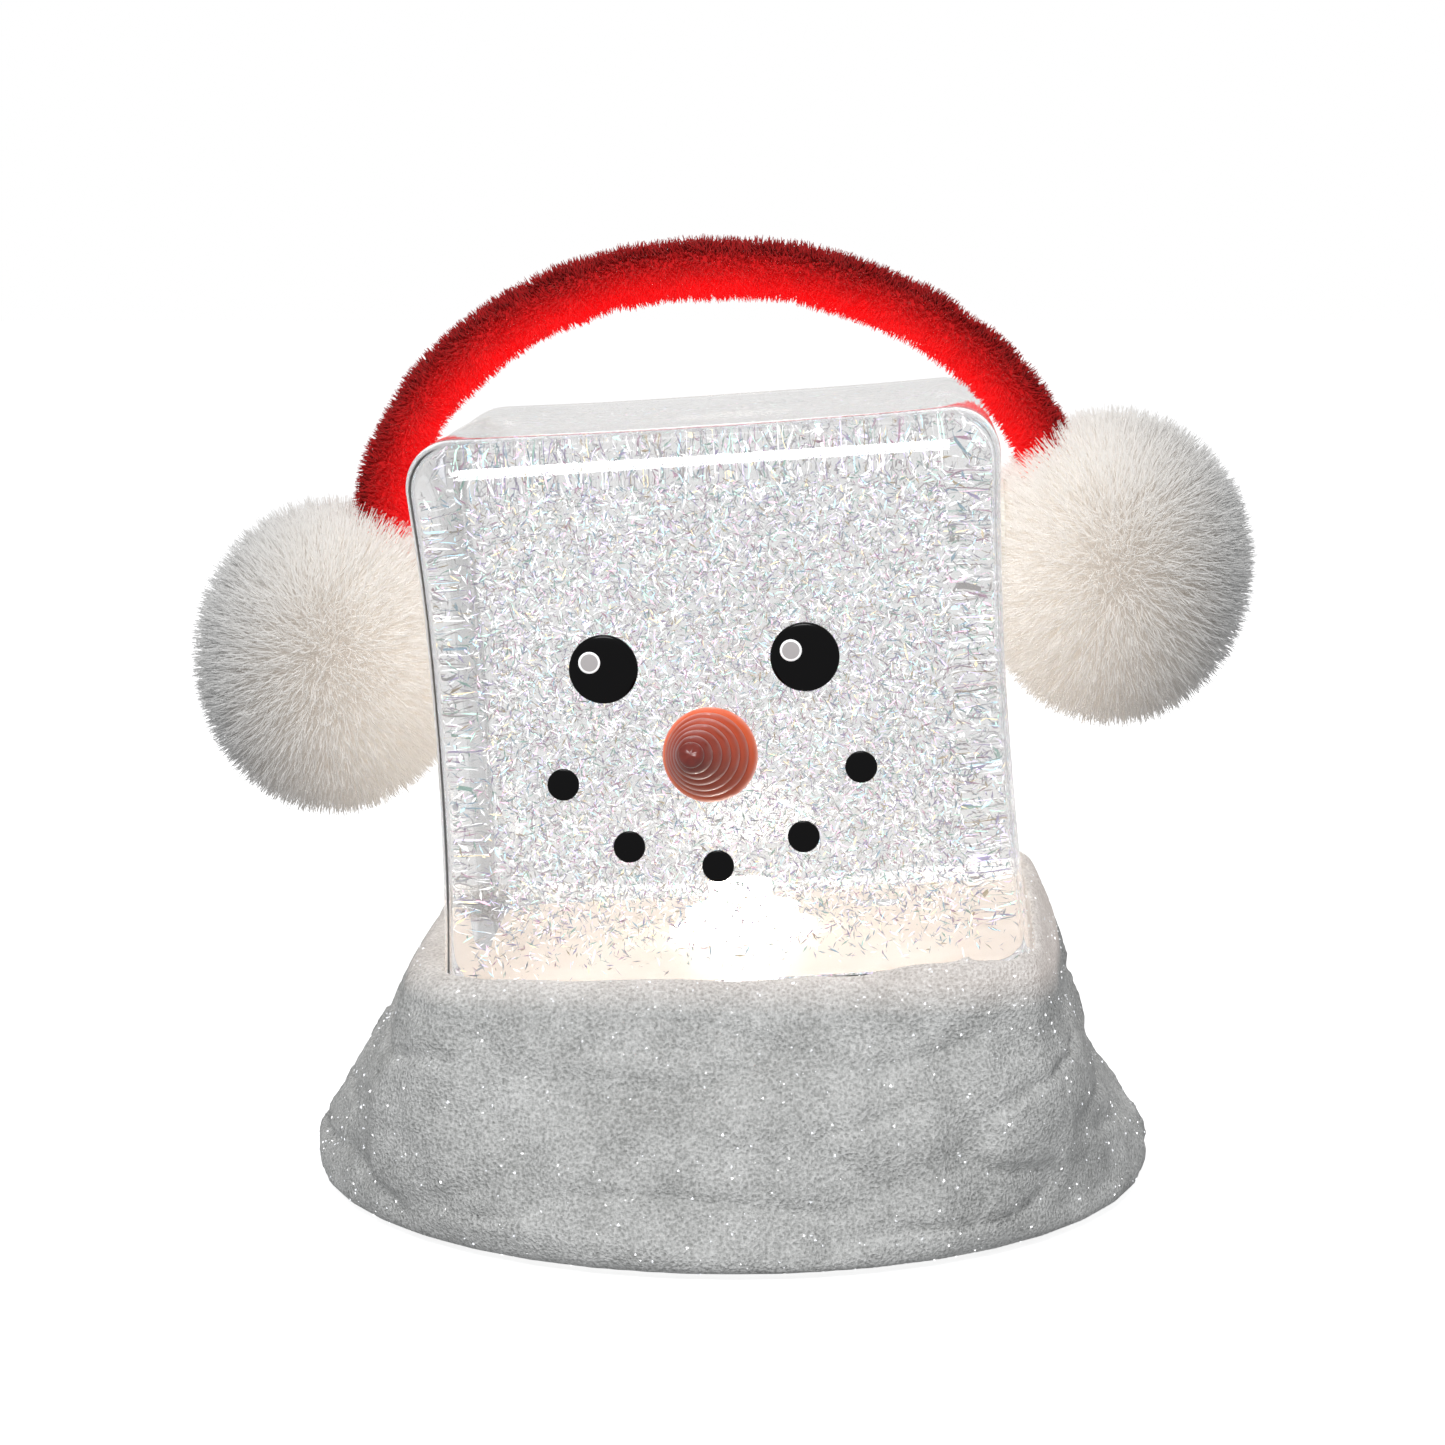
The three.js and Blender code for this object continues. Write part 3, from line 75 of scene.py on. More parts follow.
class Wire:
    """A node's output, which can be used in a sum with numbers and other outputs."""

    def __init__(self, tree, socket):
        self.tree = tree
        self.socket = socket

    def math(self, operation, *values):
        return self.tree.add("ShaderNodeMath", {"operation": operation}, dict(enumerate(values)))

    def __add__(self, other):
        return self.math("ADD", self, other)

    def __sub__(self, other):
        return self.math("SUBTRACT", self, other)

    def __rsub__(self, other):
        return self.math("SUBTRACT", other, self)

    def __mul__(self, other):
        return self.math("MULTIPLY", self, other)

    def __gt__(self, other):
        return self.math("GREATER_THAN", self, other)

    __radd__ = __add__
    __rmul__ = __mul__


class Tree:
    """A node tree with one way to add a node: its kind, its settings, then its sockets."""

    def __init__(self, tree):
        self.tree = tree

    def feed(self, socket, value):
        if isinstance(value, Wire):
            self.tree.links.new(value.socket, socket)
        else:
            socket.default_value = value

    def add(self, kind, settings=None, values=None, out=0):
        node = self.tree.nodes.new(kind)
        for name, value in (settings or {}).items():
            if name == "stops":
                self.set_stops(node.color_ramp, value)
            else:
                setattr(node, name, value)
        for name, value in (values or {}).items():
            self.feed(node.inputs[name], value)
        return Wire(self, node.outputs[out]) if node.outputs else node

    def set_stops(self, ramp, stops):
        while len(ramp.elements) < len(stops):
            ramp.elements.new(1)
        for element, (place, colour) in zip(ramp.elements, stops):
            element.position = place
            element.color = (*colour, 1)


class Finish(Tree):
    """A material on one Principled shader, its patterns read from Object coordinates."""

    def __init__(self, name, **constants):
        self.material = bpy.data.materials.new(name)
        self.material.use_nodes = True
        super().__init__(self.material.node_tree)
        self.shader = self.tree.nodes["Principled BSDF"]
        for key, value in constants.items():
            self.shader.inputs[key.replace("_", " ").title().replace("Ior", "IOR")].default_value = value
        self.place = self.add("ShaderNodeTexCoord", out="Object")

    def noise(self, scale, detail=2.0, stretch=(1, 1, 1)):
        vector = self.add("ShaderNodeMapping", {}, {"Vector": self.place, "Scale": stretch})
        values = {"Vector": vector, "Scale": scale, "Detail": detail}
        return self.add("ShaderNodeTexNoise", {}, values)

    def blend(self, factor, low, high, start=0.0, end=1.0):
        return self.add("ShaderNodeValToRGB", {"stops": [(start, low), (end, high)]}, {"Fac": factor})

    def between(self, factor, low, high):
        return factor * (high - low) + low

    def set(self, socket, value):
        self.feed(self.shader.inputs[socket], value)

    def bump(self, height, distance, strength=1.0):
        values = {"Height": height, "Distance": distance, "Strength": strength}
        self.set("Normal", self.add("ShaderNodeBump", {}, values))


BACKDROP = (1.0, 1.0, 1.0, 1)
ROOM = (0.36, 0.365, 0.375, 1)
ROOM_SHINE = (0.8, 0.79, 0.78, 1)
TABLE_HALF = 4
TABLE_DROP = 0.0003
TABLE_GLOW = 0.76

world = bpy.data.worlds.new("studio")
world.use_nodes = True
bpy.context.scene.world = world
studio = Tree(world.node_tree)
seen = studio.add("ShaderNodeLightPath", out="Is Camera Ray")
shining = studio.add("ShaderNodeLightPath", out="Is Glossy Ray")
room = studio.add("ShaderNodeMix", {"data_type": "RGBA"}, {0: shining, 6: ROOM, 7: ROOM_SHINE}, out=2)
sky = studio.add("ShaderNodeMix", {"data_type": "RGBA"}, {0: seen, 6: room, 7: BACKDROP}, out=2)
studio.feed(world.node_tree.nodes["Background"].inputs["Color"], sky)

table_mesh = bpy.data.meshes.new("table")
table_form = bmesh.new()
bmesh.ops.create_grid(table_form, x_segments=1, y_segments=1, size=TABLE_HALF)
bmesh.ops.translate(table_form, vec=(0, 0, -TABLE_DROP), verts=table_form.verts[:])
table_form.to_mesh(table_mesh)
table = bpy.data.objects.new("table", table_mesh)
bpy.context.scene.collection.objects.link(table)
white_table = Finish("white_table", roughness=0.9, base_color=(0.8, 0.8, 0.8, 1))
white_table.set("Emission Color", (1, 1, 1, 1))
white_table.set("Emission Strength", TABLE_GLOW)
table_mesh.materials.append(white_table.material)
table.visible_diffuse = False
table.visible_glossy = False
table.visible_transmission = False


def soft_box(name, place, aim, size, watts):
    """A rectangular area lamp, turned to face the point it is aimed at."""
    data = bpy.data.lights.new(name, "AREA")
    data.shape = "RECTANGLE"
    data.size, data.size_y = size
    data.energy = watts
    lamp = bpy.data.objects.new(name, data)
    lamp.location = place
    lamp.rotation_euler = (Vector(aim) - Vector(place)).to_track_quat("-Z", "Y").to_euler()
    bpy.context.scene.collection.objects.link(lamp)


soft_box("front_box", (-0.12, -0.95, 0.8), (0, 0, 0.07), (0.4, 0.3), 8.0)
soft_box("back_box", (0.1, 0.9, 0.55), (0, 0, 0.12), (1.2, 0.5), 2.0)


# ---- Snow base ------------------------------------------------------------------------------
# A hollow resin moulding coated in white grains and a pinch of glitter. It stands on the bottom
# cover's feet, and the tank is set into its crest.

SNOW_VOXEL = 0.00105
SNOW_DRIFT = 0.0019
SNOW_LUMP = 0.0007
SNOW_GRAIN = 0.00028
SNOW_BARE = 0.002
SNOW_FADE = 0.004
SNOW_LEVEL = 0.15
CREASE_WIDTH = 0.14
CREASE_DEPTH = 0.65
CREST_FROM = 0.036
CREST_DEPTH = 0.005
CREST_HEAP = 0.0014
CREST_SLOPE = 0.055
PAINTED_GLOW_FROM = 0.0395
PAINTED_GLOW_RISE = 170
BASE_AXIS_X = sum(corner.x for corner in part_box("base_plate")) / 2


def keep_piece(name, mesh, finish, body, replaces=(), smooth=True):
    mesh.polygons.foreach_set("use_smooth", [smooth] * len(mesh.polygons))
    mesh.materials.clear()
    mesh.materials.append(finish.material)
    piece = bpy.data.objects.new(name, mesh)
    bpy.context.scene.collection.objects.link(piece)
    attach(piece, body)
    if replaces:
        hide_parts(*replaces)
    return piece


def make_piece(name, form, finish, body, replaces=(), crease=None):
    """Makes a piece of a bmesh; edges that turn by more than crease degrees stay sharp."""
    mesh = bpy.data.meshes.new(name)
    form.to_mesh(mesh)
    form.free()
    piece = keep_piece(name, mesh, finish, body, replaces)
    if crease:
        mesh.set_sharp_from_angle(angle=math.radians(crease))
    return piece


def settled(piece):
    """The mesh of a piece with its modifiers worked in."""
    depsgraph = bpy.context.evaluated_depsgraph_get()
    return bpy.data.meshes.new_from_object(piece.evaluated_get(depsgraph))


def merged_copy(node):
    """A copy of a CAD node's mesh with its loose triangles joined up."""
    form = bmesh.new()
    form.from_mesh(frame["nodes"][node].data)
    bmesh.ops.remove_doubles(form, verts=form.verts[:], dist=1e-6)
    mesh = bpy.data.meshes.new(node + "_copy")
    form.to_mesh(mesh)
    form.free()
    return mesh


snow_finish = Finish("grained_snow", roughness=0.85, specular_ior_level=0.3)
grain = snow_finish.noise(1900, 3.0)
drift = snow_finish.noise(90, 3.0)
mottled = grain * 0.72 + drift * 0.28
white = snow_finish.blend(mottled, (0.38, 0.385, 0.375), (0.9, 0.905, 0.89), 0.34, 0.66)
snow_finish.set("Base Color", white)
snow_finish.bump(grain, 0.0008, 1.0)
# Painted light: the snow next to the tank gets a warm emission that grows with height, standing in for the
# tank's glow falling on it.
height = snow_finish.add("ShaderNodeSeparateXYZ", {}, {"Vector": snow_finish.place}, out="Z")
painted_tank_glow = snow_finish.blend((height - PAINTED_GLOW_FROM) * PAINTED_GLOW_RISE, (0, 0, 0), (1.0, 0.8, 0.7), 0.1, 1.0)
snow_finish.set("Emission Color", painted_tank_glow)
snow_finish.set("Emission Strength", 0.22)

rough = bpy.data.objects.new("rough_base", merged_copy("snow_base"))
bpy.context.scene.collection.objects.link(rough)
remesh = rough.modifiers.new("grains", "REMESH")
remesh.mode = "VOXEL"
remesh.voxel_size = SNOW_VOXEL
snow_form = bmesh.new()
snow_form.from_mesh(settled(rough))
bpy.data.objects.remove(rough)
for _ in range(3):
    bmesh.ops.smooth_vert(
        snow_form, verts=snow_form.verts[:], factor=0.5, use_axis_x=True, use_axis_y=True, use_axis_z=True,
    )
snow_form.normal_update()
shifts = []
for vert in snow_form.verts:
    outward = Vector((vert.co.x - BASE_AXIS_X, vert.co.y, 0)).normalized()
    facing = max(vert.normal.dot(outward), vert.normal.z)
    share = min(max((facing - 0.15) * 3, 0), 1) * min(max((vert.co.z - SNOW_BARE) / SNOW_FADE, 0), 1)
    wide = noise.noise(Vector((vert.co.x * 26, vert.co.y * 26, vert.co.z * 60)))
    crease = abs(noise.noise(Vector((vert.co.x * 22 + 9, vert.co.y * 22, vert.co.z * 105))))
    wide -= CREASE_DEPTH * max(CREASE_WIDTH - crease, 0) / CREASE_WIDTH
    lumps = noise.noise(vert.co * 150)
    grains = noise.noise(vert.co * 620)
    shifts.append(share * (SNOW_DRIFT * (wide - SNOW_LEVEL) + SNOW_LUMP * lumps + SNOW_GRAIN * grains))
for vert, shift in zip(snow_form.verts, shifts):
    heap = min(max((vert.co.z - CREST_FROM) / CREST_DEPTH, 0), 1)
    vert.co += vert.normal * shift * (1 - heap)
    rise = CREST_HEAP + CREST_SLOPE * max(vert.co.x - BASE_AXIS_X, 0)
    vert.co.z += rise * heap * (1 + 0.3 * noise.noise(vert.co * 110))
snow = make_piece("snow_bank", snow_form, snow_finish, "base", ["snow_base"])


def flake(length, width, thickness):
    """A thin lozenge, closed with only four faces."""
    form = bmesh.new()
    ends = [form.verts.new((x, 0, -thickness / 2)) for x in (-length / 2, length / 2)]
    sides = [form.verts.new((0, y, thickness / 2)) for y in (-width / 2, width / 2)]
    bmesh.ops.convex_hull(form, input=ends + sides)
    mesh = bpy.data.meshes.new("flake")
    form.to_mesh(mesh)
    form.free()
    return bpy.data.objects.new("flake", mesh)


def scatter(name, ground, sprig, density, seed, size, comb=0.0, stray=0.0, keep=True, comb_scale=200.0):
    """Plants a sprig all over a ground mesh, or on its bare points where density is 0."""
    group = bpy.data.node_groups.new(name, "GeometryNodeTree")
    group.interface.new_socket("Ground", in_out="INPUT", socket_type="NodeSocketGeometry")
    group.interface.new_socket("Planted", in_out="OUTPUT", socket_type="NodeSocketGeometry")
    tree = Tree(group)
    source = tree.add("NodeGroupInput")
    points, normal = source, None
    if density:
        values = {"Mesh": source, "Density": density, "Seed": seed}
        points = tree.add("GeometryNodeDistributePointsOnFaces", {}, values)
        normal = Wire(tree, points.socket.node.outputs["Normal"])
    loose = tree.add("FunctionNodeRandomValue", {"data_type": "FLOAT_VECTOR"}, {
        0: (-stray,) * 3, 1: (stray,) * 3, "Seed": seed + 1,
    })
    heading = loose
    if normal:
        field = tree.add("ShaderNodeTexNoise", {}, {"Scale": comb_scale, "Detail": 2.0}, out="Color")
        centred = tree.add("ShaderNodeVectorMath", {"operation": "SUBTRACT"}, {0: field, 1: (0.5,) * 3})
        combed = tree.add("ShaderNodeVectorMath", {"operation": "SCALE"}, {0: centred, "Scale": comb})
        swept = tree.add("ShaderNodeVectorMath", {"operation": "ADD"}, {0: normal, 1: combed})
        heading = tree.add("ShaderNodeVectorMath", {"operation": "ADD"}, {0: swept, 1: loose})
    spun = tree.add("FunctionNodeRandomValue", {"data_type": "FLOAT_VECTOR"}, {
        0: (0, 0, 0), 1: (0, 0, 2 * math.pi), "Seed": seed + 2,
    })
    turned = tree.add("FunctionNodeAlignRotationToVector", {"axis": "Z"}, {
        "Rotation": spun, "Vector": heading,
    })
    scale = tree.add("FunctionNodeRandomValue", {"data_type": "FLOAT"}, {
        2: size[0], 3: size[1], "Seed": seed + 3,
    }, out=1)
    sprout = tree.add("GeometryNodeObjectInfo", {}, {"Object": sprig}, out="Geometry")
    planted = tree.add("GeometryNodeInstanceOnPoints", {}, {
        "Points": points, "Instance": sprout, "Rotation": turned, "Scale": scale,
    })
    tint = tree.add("FunctionNodeRandomValue", {"data_type": "FLOAT"}, {
        2: 0.0, 3: 1.0, "Seed": seed + 4,
    }, out=1)
    marked = tree.add(
        "GeometryNodeStoreNamedAttribute", {"data_type": "FLOAT", "domain": "INSTANCE"},
        {"Geometry": planted, "Name": "tint", "Value": tint},
    )
    result = tree.add("GeometryNodeRealizeInstances", {}, {"Geometry": marked})
    if keep:
        joined = tree.add("GeometryNodeJoinGeometry", {}, {"Geometry": source})
        tree.feed(joined.socket.node.inputs["Geometry"], result)
        result = joined
    tree.add("NodeGroupOutput", {}, {0: result})
    bed = bpy.data.objects.new(name + "_bed", ground)
    bpy.context.scene.collection.objects.link(bed)
    bed.modifiers.new("scatter", "NODES").node_group = group
    mesh = settled(bed)
    bpy.data.objects.remove(bed)
    return mesh


SPARKLE_SIZE = 0.0005
SPARKLE_DENSITY = 45000
sparkle_finish = Finish("snow_glitter", roughness=0.2, base_color=(0.95, 0.95, 0.97, 1))
# The flakes are real glitter, but their emission is painted glints: every flake glows grey, and a random
# half of them glow brighter, up to white.
painted_glint_pick = sparkle_finish.add("ShaderNodeAttribute", {"attribute_name": "tint"}, out="Fac")
sparkle_finish.set("Emission Color", sparkle_finish.blend(painted_glint_pick, (0.45, 0.47, 0.5), (1, 1, 1), 0.5, 0.8))
sparkle_finish.set("Emission Strength", 1.3)
sparkle_mesh = scatter(
    "sparkle", snow.data, flake(SPARKLE_SIZE, SPARKLE_SIZE * 0.7, SPARKLE_SIZE / 3),
    density=SPARKLE_DENSITY, seed=11, size=(0.4, 1.6), stray=2.0, keep=False,
)
keep_piece("snow_sparkle", sparkle_mesh, sparkle_finish, "base", smooth=False)


# ---- Bottom cover, battery door, feet and screws --------------------------------------------
# Moulded white plastic with a fine spark-eroded grain. Four screws hold the cover up to the snow
# base's bosses, one screw locks the door, and four foam feet are stuck underneath.

def coat(finish, *names):
    """Gives CAD nodes a finish through their material slots; their meshes stay as they are."""
    for name in names:
        for slot in frame["nodes"][name].material_slots:
            slot.material = finish.material


def grained_plastic(name, colour, roughness=0.5, grain_size=2600):
    finish = Finish(name, specular_ior_level=0.4)
    fine = finish.noise(grain_size, 2.0)
    cloud = finish.noise(60, 2.0)
    darker = tuple(c * 0.9 for c in colour)
    finish.set("Base Color", finish.blend(cloud, darker, colour, 0.3, 0.6))
    finish.set("Roughness", finish.between(fine, roughness - 0.08, roughness + 0.1))
    finish.bump(fine, 0.00008, 0.5)
    return finish


def turned_metal(name, colour, roughness, stretch):
    finish = Finish(name, metallic=1.0)
    scratches = finish.noise(900, 3.0, stretch)
    finish.set("Base Color", finish.blend(scratches, tuple(c * 0.85 for c in colour), colour, 0.3, 0.7))
    finish.set("Roughness", finish.between(scratches, roughness - 0.08, roughness + 0.12))
    finish.bump(scratches, 0.00003, 0.4)
    return finish


white_plastic = grained_plastic("white_plastic", (0.74, 0.74, 0.71))
screw_steel = turned_metal("zinc_plated_steel", (0.62, 0.63, 0.65), 0.3, (1, 1, 6))
foot_foam = grained_plastic("foot_foam", (0.05, 0.05, 0.052), 0.9, 1200)
coat(white_plastic, "base_plate", "battery_door")
coat(screw_steel, "base_screw_1", "base_screw_2", "base_screw_3", "base_screw_4", "door_screw")
coat(foot_foam, "foot_1", "foot_2", "foot_3", "foot_4")


# ---- Battery tray, cells and contacts -------------------------------------------------------
# Three AA cells lie side by side in a moulded tray above the door. Nickel-plated contacts and
# links at the tray's two ends join them in a row.

COPPER_FROM = 0.0145


def cell_jacket(name, way):
    """A printed sleeve: dark blue, with a copper band round the positive end."""
    finish = Finish(name, metallic=0.35, coat_weight=0.5)
    along = finish.add("ShaderNodeSeparateXYZ", {}, {"Vector": finish.place})
    band = along * way > COPPER_FROM
    sheen = finish.noise(400, 2.0)
    sleeve = finish.blend(sheen, (0.012, 0.05, 0.16), (0.025, 0.085, 0.24))
    copper = finish.blend(sheen, (0.5, 0.22, 0.08), (0.66, 0.32, 0.13))
    mix = finish.add("ShaderNodeMix", {"data_type": "RGBA"}, {0: band, 6: sleeve, 7: copper}, out=2)
    finish.set("Base Color", mix)
    finish.set("Roughness", finish.between(sheen, 0.2, 0.38))
    return finish


nickel = turned_metal("nickel_plate", (0.68, 0.65, 0.6), 0.24, (1, 4, 1))
coat(white_plastic, "battery_tray")
coat(cell_jacket("cell_jacket_right", 1), "battery_1", "battery_3")
coat(cell_jacket("cell_jacket_left", -1), "battery_2")
coat(nickel, "contact_positive", "contact_negative", "contact_link_1", "contact_link_2")


# ---- Switch, board and leads ----------------------------------------------------------------
# A three-way slide switch, set in the bottom cover under a small printed timer board, and fed
# from the battery tray by two insulated leads.

def printed_board(name):
    """Green solder mask over copper tracks, with gold pads."""
    finish = Finish(name, coat_weight=0.4)
    tracks = finish.add(
        "ShaderNodeTexVoronoi", {"distance": "MANHATTAN", "feature": "DISTANCE_TO_EDGE"},
        {"Vector": finish.place, "Scale": 420.0, "Randomness": 0.25},
    )
    pads = finish.add("ShaderNodeTexVoronoi", {}, {"Vector": finish.place, "Scale": 260.0})
    mask = finish.blend(tracks, (0.02, 0.2, 0.07), (0.008, 0.1, 0.03), 0.06, 0.1)
    gold = 1 - (pads > 0.16)
    mix = finish.add("ShaderNodeMix", {"data_type": "RGBA"}, {
        0: gold, 6: mask, 7: (0.7, 0.5, 0.2, 1),
    }, out=2)
    finish.set("Base Color", mix)
    finish.set("Metallic", gold * 0.8)
    finish.set("Roughness", finish.between(finish.noise(700), 0.3, 0.45))
    finish.bump(tracks, 0.00005, 0.4)
    return finish


green_board = printed_board("green_board")
black_epoxy = grained_plastic("black_epoxy", (0.02, 0.02, 0.022), 0.45)
coat(screw_steel, "switch_body")
coat(grained_plastic("knob_plastic", (0.03, 0.03, 0.032), 0.5), "switch_knob")
coat(green_board, "control_board")
coat(black_epoxy, "timer_chip")
coat(grained_plastic("red_lead", (0.42, 0.01, 0.012), 0.4), "battery_lead_red")
coat(grained_plastic("black_lead", (0.015, 0.015, 0.015), 0.4), "battery_lead_black")


# ---- Motor, magnet drive and lights ---------------------------------------------------------
# A small can motor in a screwed bracket turns a carrier with two magnets under the tank's floor;
# a ring board round the carrier holds two warm white lights.

coat(turned_metal("motor_steel", (0.6, 0.61, 0.62), 0.3, (1, 1, 8)), "motor_can", "motor_shaft")
coat(white_plastic, "motor_bracket", "magnet_carrier")
coat(screw_steel, "bracket_screw_1", "bracket_screw_2")
coat(nickel, "drive_magnet_1", "drive_magnet_2")
coat(green_board, "led_board")

lit_epoxy = Finish("lit_epoxy", roughness=0.15, base_color=(1.0, 0.93, 0.75, 1))
core = lit_epoxy.noise(300)
lit_epoxy.set("Emission Color", lit_epoxy.blend(core, (1.0, 0.78, 0.5), (1.0, 0.9, 0.72), 0.3, 0.7))
lit_epoxy.set("Emission Strength", 6.0)
coat(lit_epoxy, "led_1", "led_2")


# ---- Tank, floor and seal -------------------------------------------------------------------
# A cast clear acrylic block, hollow and open below, with soft edges, drawn-in sides and a
# dished top. A clear floor with a rubber seal closes it.

TANK_HALF = 0.050
TANK_TALL = 0.098
TANK_WALL = 0.003
TANK_CORNER = 0.009
TANK_WAIST = 0.002
TANK_DISH = 0.0015
TANK_TURN = math.radians(2.54)
TANK_WOBBLE = 0.00022
FLOOR_TOP = 0.00495
ICE_STEPS = 28
EDGE_STEPS = 7

spindle = next(joint for joint in frame["joints"] if joint["name"] == "motor_spin")
tank_lean = math.atan2(-spindle["axis"][0], spindle["axis"][2])
tank_place = (
    Matrix.Translation(spindle["pos_m"])
    @ Matrix.Rotation(-tank_lean, 4, "Y")
    @ Matrix.Rotation(-TANK_TURN, 4, "Z")
)


def waist_at(height):
    share = min(max(height * 2 / TANK_TALL - 1, -1), 1)
    return TANK_WAIST * (1 - share * share)


def grid_line(share, reach, radius):
    """A box's grid line, placed so that the corner comes out evenly round."""
    from_end = (1 - abs(share)) * ICE_STEPS / 2
    if from_end >= EDGE_STEPS:
        return share * reach / (1 - 2 * EDGE_STEPS / ICE_STEPS)
    return math.copysign(reach + radius * math.tan((1 - from_end / EDGE_STEPS) * math.pi / 4), share)


def ice_form(inset, underside, wobble):
    """The block, every face moved in by inset, cut off flat and left open at its underside."""
    radius = TANK_CORNER - inset
    top = TANK_TALL - inset
    middle = (top - 2 * TANK_CORNER) / 2
    half = TANK_HALF - inset
    reach = Vector((half - radius, half - radius, top - middle - radius))
    form = bmesh.new()
    bmesh.ops.create_cube(form, size=2)
    bmesh.ops.subdivide_edges(form, edges=form.edges[:], cuts=ICE_STEPS - 1, use_grid_fill=True)
    for vert in form.verts:
        point = Vector(grid_line(share, out, radius) for share, out in zip(vert.co, reach))
        nearest = Vector(min(max(value, -out), out) for value, out in zip(point, reach))
        way = (point - nearest).normalized()
        point = nearest + way * radius
        height = point.z + middle
        crown = min(max((height - top + radius) / radius, 0), 1)
        dish = TANK_DISH * crown * (1 - (point.x / half) ** 2) * (1 - (point.y / half) ** 2)
        narrowing = 1 - waist_at(height) / half
        vert.co = Vector((point.x * narrowing, point.y * narrowing, height - dish))
        vert.co += way * wobble * noise.noise(vert.co * 55)
    bmesh.ops.bisect_plane(
        form, geom=form.verts[:] + form.edges[:] + form.faces[:], plane_co=(0, 0, underside),
        plane_no=(0, 0, 1), clear_inner=True,
    )
    return form


def clear_glass(name, colour, ior, waver):
    finish = Finish(name, transmission_weight=1.0, ior=ior, base_color=colour)
    finish.set("Roughness", finish.between(finish.noise(120), 0.0, waver))
    return finish


inner_form = ice_form(TANK_WALL, 0, TANK_WOBBLE / 2)
bmesh.ops.reverse_faces(inner_form, faces=inner_form.faces[:])
inner_mesh = bpy.data.meshes.new("tank_inside")
inner_form.to_mesh(inner_mesh)
inner_form.free()
shell_form = ice_form(0, 0, TANK_WOBBLE)
shell_form.from_mesh(inner_mesh)
rims = [edge for edge in shell_form.edges if edge.is_boundary]
bmesh.ops.bridge_loops(shell_form, edges=rims)
bmesh.ops.recalc_face_normals(shell_form, faces=shell_form.faces[:])
bmesh.ops.transform(shell_form, matrix=tank_place, verts=shell_form.verts[:])
acrylic = clear_glass("clear_acrylic", (0.99, 0.995, 1.0, 1), 1.49, 0.02)
shell = make_piece("ice_shell", shell_form, acrylic, "base", ["tank_shell"], crease=40)
shell.visible_shadow = False

# Painted light: the clear floor gets a cream colour and a warm emission, a painted pool of light from the
# lights below it.
painted_floor_glow = Finish("lit_floor", roughness=0.4, base_color=(0.5, 0.43, 0.37, 1))
painted_light_pool = painted_floor_glow.noise(70, 2.0)
painted_floor_glow.set("Emission Color", painted_floor_glow.blend(painted_light_pool, (0.8, 0.62, 0.48), (1.0, 0.86, 0.74), 0.3, 0.7))
painted_floor_glow.set("Emission Strength", 0.26)
coat(painted_floor_glow, "tank_floor")
coat(grained_plastic("seal_rubber", (0.04, 0.04, 0.042), 0.7), "tank_seal", "fill_plug")


# ---- Stirrer and its lit housing ------------------------------------------------------------
# A bottle-shaped clear cap, glued to the tank's floor over a small bladed wheel on a steel pin.
# The lights below fill it. Its glow is painted on as emission, and two soft lamps on the tank's axis light
# the water and the fur.

# Painted light: the cap is no lamp, and its white colour and emission stand in for the lights below shining
# through it.
lit_cap = Finish("lit_cap", roughness=0.1, base_color=(1, 0.97, 0.92, 1))
painted_glow_mottle = lit_cap.noise(260, 2.0)
lit_cap.set("Emission Color", lit_cap.blend(painted_glow_mottle, (1.0, 0.9, 0.76), (1.0, 0.97, 0.92), 0.3, 0.6))
lit_cap.set("Emission Strength", 3.0)
coat(lit_cap, "impeller_housing")
coat(white_plastic, "impeller")
coat(nickel, "impeller_magnet")
coat(screw_steel, "impeller_pin")


WARM_LIGHT = (1.0, 0.83, 0.62)


def glow_lamp(name, height, radius, watts):
    """A soft round lamp on the tank's axis, never seen itself."""
    data = bpy.data.lights.new(name, "POINT")
    data.shadow_soft_size = radius
    data.energy = watts
    data.color = WARM_LIGHT
    lamp = bpy.data.objects.new(name, data)
    lamp.location = tank_place @ Vector((0, 0, height))
    lamp.visible_transmission = False
    lamp.visible_glossy = False
    lamp.visible_camera = False
    bpy.context.scene.collection.objects.link(lamp)


glow_lamp("cap_glow", 0.020, 0.008, 0.018)
glow_lamp("water_glow", 0.055, 0.025, 0.028)


# ---- Water and its glitter ------------------------------------------------------------------
# Clear water fills the tank to its walls. Narrow flakes cut from iridescent film drift all through it.
# About a quarter of them, picked at random, glow in their film colour as painted flashes.

GLITTER_COUNT = 42000
GLITTER_ROOM = 0.0045
FLOOR_ROOM = 0.0015
WALL_BITE = 0.00004
FLAKE_SIZE = (0.0016, 0.00025, 0.00006)
DULL_FILM = (0.42, 0.42, 0.44, 1)
PAINTED_FAINT_GLOW = (0.04, 0.04, 0.04, 1)

water_form = ice_form(TANK_WALL - WALL_BITE, FLOOR_TOP, TANK_WOBBLE / 2)
bmesh.ops.holes_fill(water_form, edges=[edge for edge in water_form.edges if edge.is_boundary], sides=0)
bmesh.ops.recalc_face_normals(water_form, faces=water_form.faces[:])
bmesh.ops.transform(water_form, matrix=tank_place, verts=water_form.verts[:])
water = clear_glass("still_water", (0.985, 0.985, 0.99, 1), 1.33, 0.0)
water_piece = make_piece("water_body", water_form, water, "base", ["water_fill"], crease=40)
water_piece.visible_shadow = False

